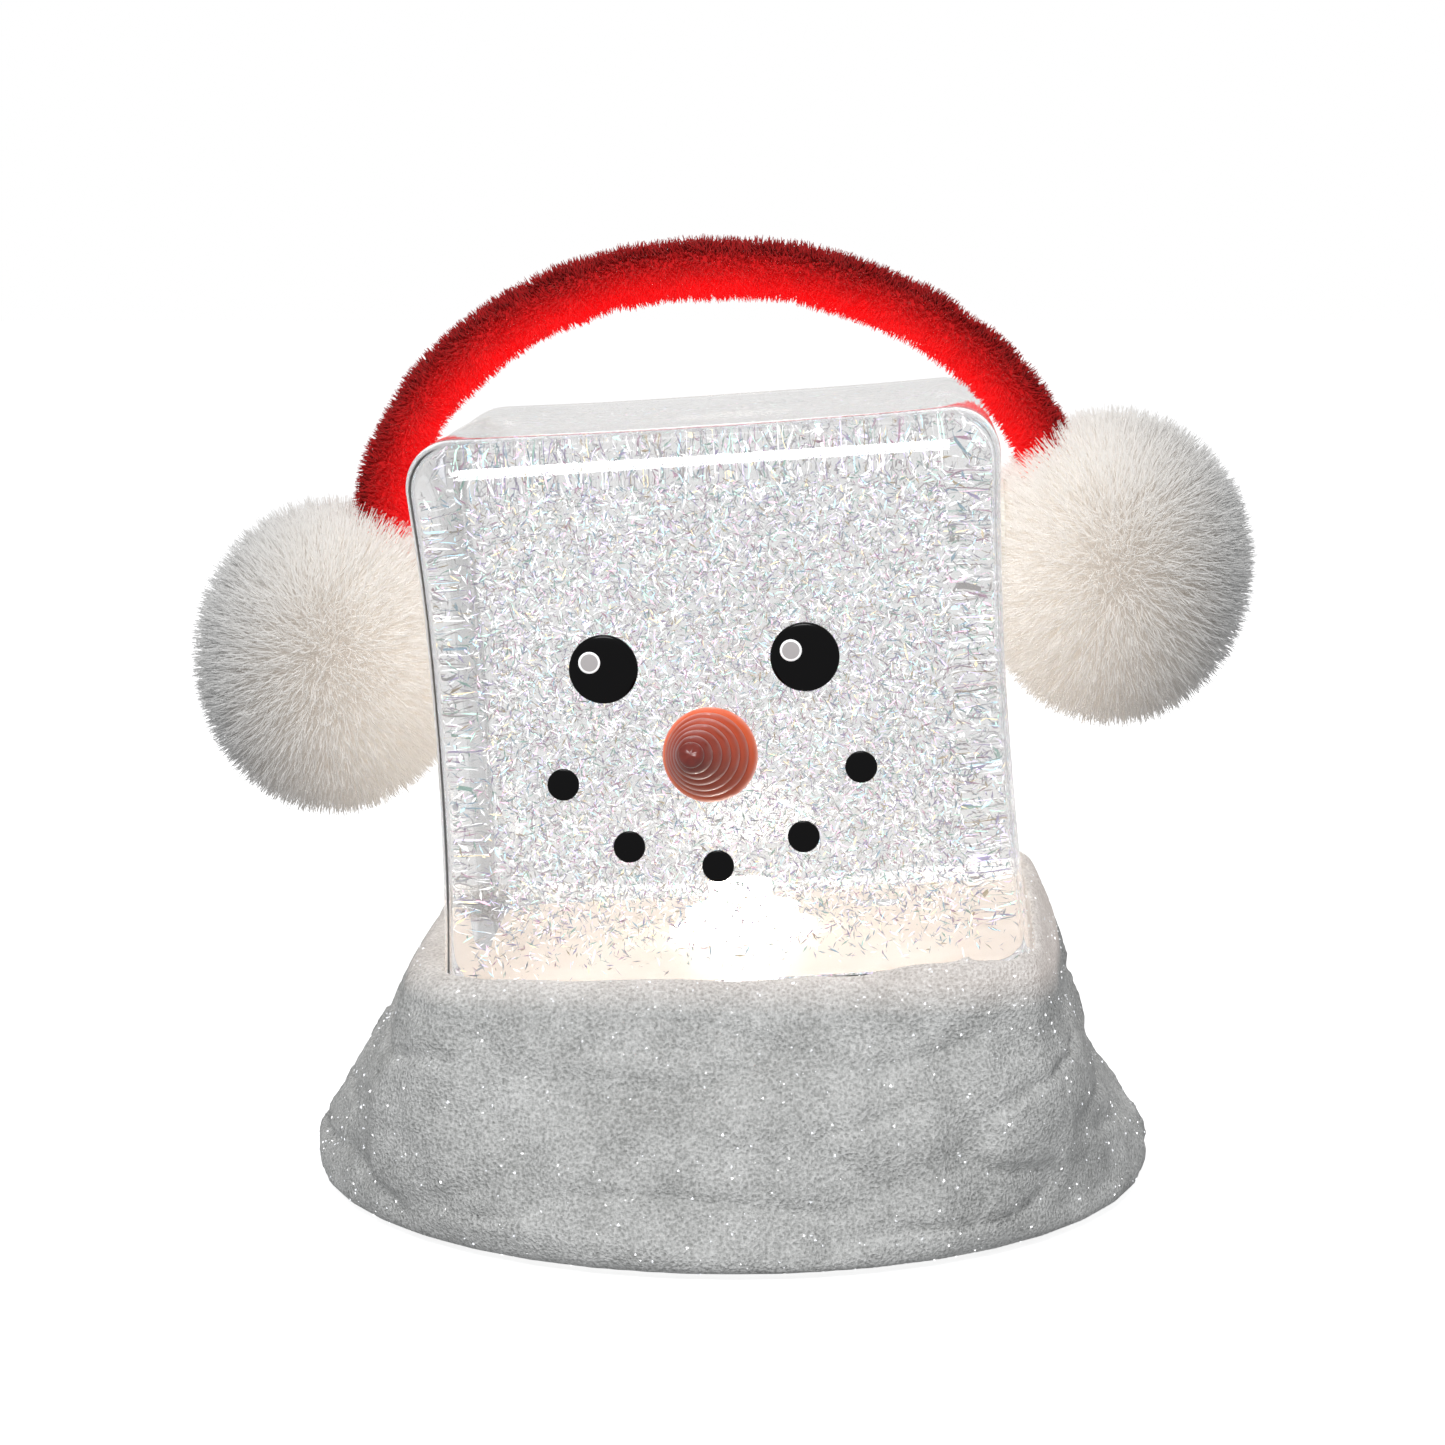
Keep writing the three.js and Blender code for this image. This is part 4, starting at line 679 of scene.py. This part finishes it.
shake = random.Random(5)
drift_form = bmesh.new()
for _ in range(GLITTER_COUNT):
    height = shake.uniform(FLOOR_TOP + FLOOR_ROOM, TANK_TALL - GLITTER_ROOM - TANK_DISH)
    side = TANK_HALF - GLITTER_ROOM - waist_at(height)
    spot = Vector((shake.uniform(-side, side), shake.uniform(-side, side), height))
    drift_form.verts.new(tank_place @ spot)
drift_mesh = bpy.data.meshes.new("glitter_places")
drift_form.to_mesh(drift_mesh)
drift_form.free()

GLITTER_TINTS = [
    (0.0, (1.0, 1.0, 1.0)), (0.5, (0.78, 0.68, 1.0)), (0.64, (0.6, 1.0, 0.82)), (0.74, (1.0, 0.62, 0.8)),
    (0.84, (1.0, 0.82, 0.5)), (0.91, (0.55, 0.85, 1.0)),
]
PAINTED_FLASH_EVERY = 53.0
PAINTED_FLASH_FROM = 0.74
glitter = Finish("film_glitter", roughness=0.22, metallic=0.5)
spread = glitter.add("ShaderNodeAttribute", {"attribute_name": "tint"}, out="Fac")
film = glitter.add("ShaderNodeValToRGB", {"stops": GLITTER_TINTS}, {"Fac": spread})
film.socket.node.color_ramp.interpolation = "CONSTANT"
dull = glitter.add("ShaderNodeMix", {"data_type": "RGBA", "blend_type": "MULTIPLY"}, {
    0: 1.0, 6: film, 7: DULL_FILM,
}, out=2)
# Painted glints: the picked flakes emit their film colour, and the rest get a faint grey emission, painted
# light from the lamps below.
painted_flash = glitter.add("ShaderNodeMath", {"operation": "FRACT"}, {0: spread * PAINTED_FLASH_EVERY}) > PAINTED_FLASH_FROM
glitter.set("Base Color", dull)
glitter.set("Emission Color", glitter.add("ShaderNodeMix", {"data_type": "RGBA"}, {
    0: painted_flash, 6: PAINTED_FAINT_GLOW, 7: film,
}, out=2))
glitter.set("Emission Strength", 1.25)
glitter_mesh = scatter(
    "glitter", drift_mesh, flake(*FLAKE_SIZE), density=0, seed=21, size=(0.45, 1.5),
    stray=1.0, keep=False,
)
glitter_piece = keep_piece("glitter_flakes", glitter_mesh, glitter, "base", smooth=False)
glitter_piece.visible_shadow = False


# ---- Face: eyes, glints and mouth -----------------------------------------------------------
# Low domed buttons of gloss black resin, glued to the tank's front. Each eye has a small glint
# of grey and white paint near its upper left.

FACE_X = -0.0015
EYE_HEIGHT = 0.059
EYE_SPACING = 0.0332
EYE_RADIUS = 0.0057
EYE_THICKNESS = 0.0007
EYE_DOME = 0.0006
SMILE_DOTS = 5
SMILE_RADIUS = 0.0277
SMILE_STEP = math.radians(31.5)
SMILE_HEIGHT = 0.025
DOT_RADIUS = 0.00265
DOT_THICKNESS = 0.0004
DOT_DOME = 0.0003
FACE_GAP = 0.0003


def front_place(x, height):
    """Where a piece turned about Z stands out from the tank's front."""
    out = -(TANK_HALF - waist_at(height)) - FACE_GAP
    return tank_place @ Matrix.Translation((x, out, height)) @ Matrix.Rotation(math.pi / 2, 4, "X")


def turn(outline, sides, matrix=Matrix.Identity(4)):
    """A solid turned about Z from (radius, height) points, which start and end on the axis."""
    form = bmesh.new()
    points = [form.verts.new((radius, 0, height)) for radius, height in outline]
    edges = [form.edges.new(pair) for pair in zip(points, points[1:])]
    bmesh.ops.spin(
        form, geom=points + edges, cent=(0, 0, 0), axis=(0, 0, 1), angle=2 * math.pi,
        steps=sides, use_merge=True,
    )
    bmesh.ops.remove_doubles(form, verts=form.verts[:], dist=1e-6)
    bmesh.ops.recalc_face_normals(form, faces=form.faces[:])
    bmesh.ops.transform(form, matrix=matrix, verts=form.verts[:])
    return form


BUTTON_RINGS = 8


def button(radius, thickness, dome, sides, place):
    """A low dome on a straight rim, whose underside is drawn in a little."""
    outline = [(0, 0), (radius * 0.97, 0), (radius, thickness * 0.15)]
    for i in range(BUTTON_RINGS + 1):
        angle = i * math.pi / 2 / BUTTON_RINGS
        outline.append((radius * math.cos(angle), thickness + dome * math.sin(angle)))
    outline[-1] = (0, thickness + dome)
    return turn(outline, sides, place)


black_gloss = Finish("gloss_black", base_color=(0.002, 0.002, 0.0025, 1), specular_ior_level=0.12)
black_gloss.set("Roughness", black_gloss.between(black_gloss.noise(500, 3.0), 0.1, 0.25))
black_gloss.bump(black_gloss.noise(900, 2.0), 0.00003, 0.25)
glint_finish = Finish("glint_paint", roughness=0.4)
from_middle = glint_finish.add("ShaderNodeAttribute", {"attribute_name": "rim"}, out="Fac")
paint = glint_finish.blend(from_middle, (0.42, 0.4, 0.4), (0.95, 0.95, 0.95), 0.78, 0.84)
# Painted highlight: the glint also glows, faintly grey in its middle and brighter at its white rim.
painted_gleam = glint_finish.blend(from_middle, (0.2, 0.19, 0.19), (0.7, 0.7, 0.7), 0.78, 0.84)
glint_finish.set("Base Color", paint)
glint_finish.set("Emission Color", painted_gleam)
glint_finish.set("Emission Strength", 0.6)

GLINT_SINK = 0.00012
GLINT_RADIUS = 0.0018
GLINT_X = -0.0022
GLINT_Z = 0.0013
for side, way in (("left", -0.5), ("right", 0.5)):
    eye_x = FACE_X + way * EYE_SPACING
    eye_form = button(EYE_RADIUS, EYE_THICKNESS, EYE_DOME, 64, front_place(eye_x, EYE_HEIGHT))
    make_piece("gloss_eye_" + side, eye_form, black_gloss, "base", ["eye_" + side], 40)
    off_centre = math.hypot(GLINT_X, GLINT_Z) / EYE_RADIUS
    rest = EYE_THICKNESS + EYE_DOME * math.sqrt(1 - off_centre ** 2) - GLINT_SINK
    seat = front_place(eye_x + GLINT_X, EYE_HEIGHT + GLINT_Z) @ Matrix.Translation((0, 0, rest))
    steps = [(0, 0), (1, 0), (1, 0.0002), (0.84, 0.00026), (0.78, 0.00027), (0.4, 0.0003), (0, 0.00031)]
    glint_form = turn([(GLINT_RADIUS * radius, height) for radius, height in steps], 40)
    rims = [math.hypot(vert.co.x, vert.co.y) / GLINT_RADIUS for vert in glint_form.verts]
    bmesh.ops.transform(glint_form, matrix=seat, verts=glint_form.verts[:])
    glint = make_piece("eye_glint_" + side, glint_form, glint_finish, "base")
    glint.data.attributes.new("rim", "FLOAT", "POINT").data.foreach_set("value", rims)

for i in range(SMILE_DOTS):
    angle = (i - (SMILE_DOTS - 1) / 2) * SMILE_STEP
    x = FACE_X + SMILE_RADIUS * math.sin(angle)
    height = SMILE_HEIGHT + SMILE_RADIUS * (1 - math.cos(angle))
    dot_form = button(DOT_RADIUS, DOT_THICKNESS, DOT_DOME, 40, front_place(x, height))
    node = f"mouth_dot_{i + 1}"
    make_piece(f"gloss_dot_{i + 1}", dot_form, black_gloss, "base", [node], 40)


# ---- Carrot nose ----------------------------------------------------------------------------
# A cast cone of translucent orange resin, stepped in rings and a little uneven. It is glued by
# its flat back to the tank's front, and points slightly down and to one side.

NOSE_HEIGHT = 0.0436
NOSE_RADIUS = 0.0079
NOSE_TIP_RADIUS = 0.0021
NOSE_LENGTH = 0.0203
NOSE_RINGS = 6
NOSE_TILT = math.radians(9.4)
NOSE_SWING = math.radians(5.4)
NOSE_END_Y = -0.0702
NOSE_DEPTH = 0.0222

profile = [(0, -NOSE_RADIUS), (NOSE_RADIUS, -NOSE_RADIUS)]
ring = NOSE_LENGTH / NOSE_RINGS
for i in range(NOSE_RINGS):
    share = i / NOSE_RINGS
    radius = NOSE_RADIUS + (NOSE_TIP_RADIUS - NOSE_RADIUS) * share
    step = (NOSE_RADIUS - NOSE_TIP_RADIUS) / NOSE_RINGS
    profile += [
        (radius - step * 0.1, (i + 0.05) * ring),
        (radius, (i + 0.22) * ring),
        (radius - step * 0.15, (i + 0.55) * ring),
        (radius - step * 0.7, (i + 0.86) * ring),
        (radius - step * 1.25, (i + 0.97) * ring),
    ]
profile += [
    (NOSE_TIP_RADIUS, NOSE_LENGTH + 0.0003),
    (NOSE_TIP_RADIUS * 0.96, NOSE_LENGTH + 0.001),
    (NOSE_TIP_RADIUS * 0.75, NOSE_LENGTH + 0.0015),
    (NOSE_TIP_RADIUS * 0.4, NOSE_LENGTH + 0.0017),
    (0, NOSE_LENGTH + 0.0018),
]
nose_form = turn(profile, 72)
for vert in nose_form.verts:
    angle = math.atan2(vert.co.y, vert.co.x)
    share = max(vert.co.z, 0) / NOSE_LENGTH
    waver = noise.noise(Vector((math.cos(angle), math.sin(angle), vert.co.z * 260)) * 1.3)
    vert.co.z += 0.00035 * waver * share
    vert.co.x *= 1 + 0.03 * waver * share
    vert.co.y *= 1 + 0.03 * waver * share
nose_turn = Matrix.Rotation(-NOSE_SWING, 4, "Z") @ Matrix.Rotation(-NOSE_TILT, 4, "X")
nose_front = Matrix.Translation((FACE_X, -(TANK_HALF - waist_at(NOSE_HEIGHT)), NOSE_HEIGHT))
nose_place = nose_front @ nose_turn @ Matrix.Rotation(math.pi / 2, 4, "X")
bmesh.ops.transform(nose_form, matrix=nose_place, verts=nose_form.verts[:])
back = -(TANK_HALF - waist_at(NOSE_HEIGHT)) - FACE_GAP
geometry = nose_form.verts[:] + nose_form.edges[:] + nose_form.faces[:]
bmesh.ops.bisect_plane(nose_form, geom=geometry, plane_co=(0, back, 0), plane_no=(0, 1, 0), clear_outer=True)
bmesh.ops.holes_fill(nose_form, edges=[edge for edge in nose_form.edges if edge.is_boundary], sides=0)
bmesh.ops.transform(nose_form, matrix=tank_place, verts=nose_form.verts[:])

resin = Finish(
    "orange_resin", roughness=0.3, coat_weight=0.2, coat_roughness=0.12, subsurface_weight=0.25,
    subsurface_scale=0.003, subsurface_radius=(1.0, 0.35, 0.15),
)
depth = resin.add("ShaderNodeSeparateXYZ", {}, {"Vector": resin.place}, out="Y")
root = (depth - NOSE_END_Y) * (1 / NOSE_DEPTH)
streak = resin.noise(420, 3.0)
# The base colour runs from dark red at the tip to orange at the root, streaked at random.
body = resin.blend(root + streak * 0.25, (0.17, 0.008, 0.003), (0.68, 0.085, 0.02), 0.1, 1.0)
resin.set("Base Color", body)
# Painted light: the root end of the nose glows orange, standing in for the tank's light shining through the
# resin from behind.
resin.set("Emission Color", resin.blend(root, (0.0, 0.0, 0.0), (1.0, 0.25, 0.08), 0.8, 1.0))
resin.set("Emission Strength", 0.4)
resin.bump(streak, 0.0002, 0.6)
make_piece("ringed_nose", nose_form, resin, "base", ["carrot_nose"], 60)


# ---- Earmuff band ---------------------------------------------------------------------------
# A spring steel wire in a sleeve of red plush, whose short pile stands out all round. Its ends
# go into the pompoms, and two pads of clear glue hold them to the tank's sides.

PILE_LENGTH = 0.0020
PILE_WIDTH = 0.00042
PILE_BEND = 0.0005
PILE_DENSITY = 6.5e6
BAND_SPRING_DROP = 0.022
BAND_STRAIGHT = 0.004
BAND_TURNS = 48


def strand(length, width, bend, cuts=1):
    """One fibre, three-sided, pointed and a little curved, for scatter to plant."""
    form = bmesh.new()
    bmesh.ops.create_cone(
        form, cap_ends=True, segments=3, radius1=width / 2, radius2=width / 12, depth=length,
        matrix=Matrix.Translation((0, 0, length / 2)),
    )
    upright = [e for e in form.edges if abs(e.verts[0].co.z - e.verts[1].co.z) > length / 2]
    if cuts:
        bmesh.ops.subdivide_edges(form, edges=upright, cuts=cuts)
    for vert in form.verts:
        vert.co.x += bend * (vert.co.z / length) ** 2
    bmesh.ops.triangulate(form, faces=form.faces[:])
    mesh = bpy.data.meshes.new("strand")
    form.to_mesh(mesh)
    form.free()
    mesh.polygons.foreach_set("use_smooth", [True] * len(mesh.polygons))
    along = mesh.attributes.new("along", "FLOAT", "POINT")
    along.data.foreach_set("value", [v.co.z / length for v in mesh.vertices])
    return bpy.data.objects.new("strand", mesh)


band_low, band_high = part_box("headband_plush")
tank_high = spindle["pos_m"][2] + TANK_TALL
band_radius = band_high.y
span = band_high.x - band_radius
spring_z = tank_high - BAND_SPRING_DROP
rise = band_high.z - band_radius - spring_z
route = [Vector((-span, 0, band_low.z))]
for i in range(BAND_TURNS + 1):
    angle = math.pi * (1 - i / BAND_TURNS)
    route.append(Vector((span * math.cos(angle), 0, spring_z + rise * math.sin(angle))))
route.append(Vector((span, 0, spring_z - BAND_STRAIGHT)))

band_curve = bpy.data.curves.new("band", "CURVE")
band_curve.dimensions = "3D"
spline = band_curve.splines.new("NURBS")
spline.points.add(len(route) - 1)
for point, place in zip(spline.points, route):
    point.co = (*place, 1)
spline.use_endpoint_u = True
spline.order_u = 3
band_curve.bevel_depth = band_radius - PILE_LENGTH * 0.55
band_curve.bevel_resolution = 6
band_curve.resolution_u = 3
band_curve.use_fill_caps = True
band_object = bpy.data.objects.new("band", band_curve)
bpy.context.scene.collection.objects.link(band_object)
sleeve_form = bmesh.new()
sleeve_form.from_mesh(settled(band_object))
bpy.data.objects.remove(band_object)
bmesh.ops.remove_doubles(sleeve_form, verts=sleeve_form.verts[:], dist=1e-6)
sleeve_form.normal_update()
for vert in sleeve_form.verts:
    vert.co += vert.normal * 0.0006 * noise.noise(vert.co * 130)
sleeve_mesh = bpy.data.meshes.new("sleeve")
sleeve_form.to_mesh(sleeve_mesh)
sleeve_form.free()

plush = Finish("red_plush", roughness=0.9, sheen_weight=0.15, sheen_tint=(1.0, 0.3, 0.25, 1))
pile = plush.noise(300, 3.0)
spot = plush.add("ShaderNodeSeparateXYZ", {}, {"Vector": plush.place})
across = spot * (1 / span)
up = (Wire(plush, spot.socket.node.outputs["Z"]) - spring_z) * (1 / rise)
# Painted light: the arch's inner side, facing the tank, is made a lighter red and given a red emission,
# standing in for the tank's glow on it, and the outer side is left darker.
painted_glow_side = (across * across + up * up) * -2.6 + 3.1
red = plush.blend(pile * 0.5 + painted_glow_side * 0.5, (0.42, 0.004, 0.006), (0.85, 0.006, 0.008), 0.2, 0.75)
plush.set("Base Color", red)
plush.set("Emission Color", plush.blend(painted_glow_side, (0.0, 0.0, 0.0), (1.0, 0.008, 0.012), 0.15, 1.0))
plush.set("Emission Strength", 0.42)
band_mesh = scatter(
    "pile", sleeve_mesh, strand(PILE_LENGTH, PILE_WIDTH, PILE_BEND, cuts=0), density=PILE_DENSITY,
    seed=31, size=(0.6, 1.15), comb=2.2, stray=0.35, comb_scale=160.0,
)
band_piece = keep_piece("plush_band", band_mesh, plush, "base", ["headband_plush"])
band_piece.visible_transmission = False
coat(screw_steel, "headband_wire")
clear_glue = grained_plastic("clear_glue", (0.85, 0.83, 0.76), 0.3)
coat(clear_glue, "glue_pad_left", "glue_pad_right")


# ---- Earmuff pompoms ------------------------------------------------------------------------
# Balls of white faux fur on a knitted core, a little thinner than they are high, brushed
# outwards and pressed flat where they are glued to the tank's sides.

FUR_LENGTH = 0.0095
FUR_WIDTH = 0.0005
FUR_BEND = 0.0014
FUR_DENSITY = 8e6
FUR_ROOTED = 0.85
FUR_WALL_GAP = 0.0004
BALL_THICKNESS = 47
BALL_HEIGHT = 54
LIT_FROM_X = 0.05

fur = Finish("white_fur", roughness=0.85, sheen_weight=0.3, sheen_roughness=0.5)
to_tip = fur.add("ShaderNodeAttribute", {"attribute_name": "along"}, out="Fac")
each = fur.add("ShaderNodeAttribute", {"attribute_name": "tint"}, out="Fac")
# The base colour is darker towards the roots and varies at random from strand to strand.
darker_at_roots = to_tip * 0.75 + each * 0.25
fur.set("Base Color", fur.blend(darker_at_roots, (0.72, 0.705, 0.69), (0.88, 0.875, 0.86), 0.1, 0.8))
# Painted light: the fur nearest the tank gets a warm emission, standing in for the tank's glow on it. The
# roots get a grey emission that lightens the deep pile as a painted fill light.
outward = fur.add("ShaderNodeMath", {"operation": "ABSOLUTE"}, {
    0: fur.add("ShaderNodeSeparateXYZ", {}, {"Vector": fur.place}),
})
painted_fur_glow = fur.blend((outward - LIT_FROM_X) * 26, (0.8, 0.68, 0.57), (0, 0, 0), 0.0, 1.0)
painted_fill_light = fur.blend(to_tip, (0.36, 0.35, 0.34), (0.0, 0.0, 0.0), 0.0, 0.7)
fur.set("Emission Color", fur.add("ShaderNodeMix", {"data_type": "RGBA", "blend_type": "ADD"}, {
    0: 1.0, 6: painted_fur_glow, 7: painted_fill_light,
}, out=2))
fur.set("Emission Strength", 0.34)
tuft = strand(FUR_LENGTH, FUR_WIDTH, FUR_BEND)


def press_to_tank(mesh, way):
    """Flattens the fur that would stand inside the tank against its side."""
    into_tank = tank_place.inverted()
    for vert in mesh.vertices:
        point = into_tank @ vert.co
        side = TANK_HALF - waist_at(point.z) + FUR_WALL_GAP
        if point.x * way < side and point.z < TANK_TALL:
            point.x = way * side
            vert.co = tank_place @ point


for side, way, seed in (("left", -1, 41), ("right", 1, 51)):
    node = "pompom_" + side
    low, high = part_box(node)
    radius = (high.z - low.z) / 2
    half_thick = radius * BALL_THICKNESS / BALL_HEIGHT
    centre = Vector((way * (max(abs(low.x), abs(high.x)) - half_thick), 0, (low.z + high.z) / 2))
    core_radius = radius - FUR_LENGTH * FUR_ROOTED
    core_scale = Matrix.Diagonal((half_thick - FUR_LENGTH * FUR_ROOTED, core_radius, core_radius, 1))
    core_place = Matrix.Translation(centre) @ core_scale
    core_form = bmesh.new()
    bmesh.ops.create_icosphere(core_form, subdivisions=5, radius=1, matrix=core_place)
    core_mesh = bpy.data.meshes.new("core")
    core_form.to_mesh(core_mesh)
    core_form.free()
    ball_mesh = scatter(
        node + "_fur", core_mesh, tuft, density=FUR_DENSITY, seed=seed, size=(0.78, 1.1), comb=1.0,
        stray=0.24, comb_scale=120.0,
    )
    press_to_tank(ball_mesh, way)
    ball = keep_piece("fur_ball_" + side, ball_mesh, fur, "base", [node])
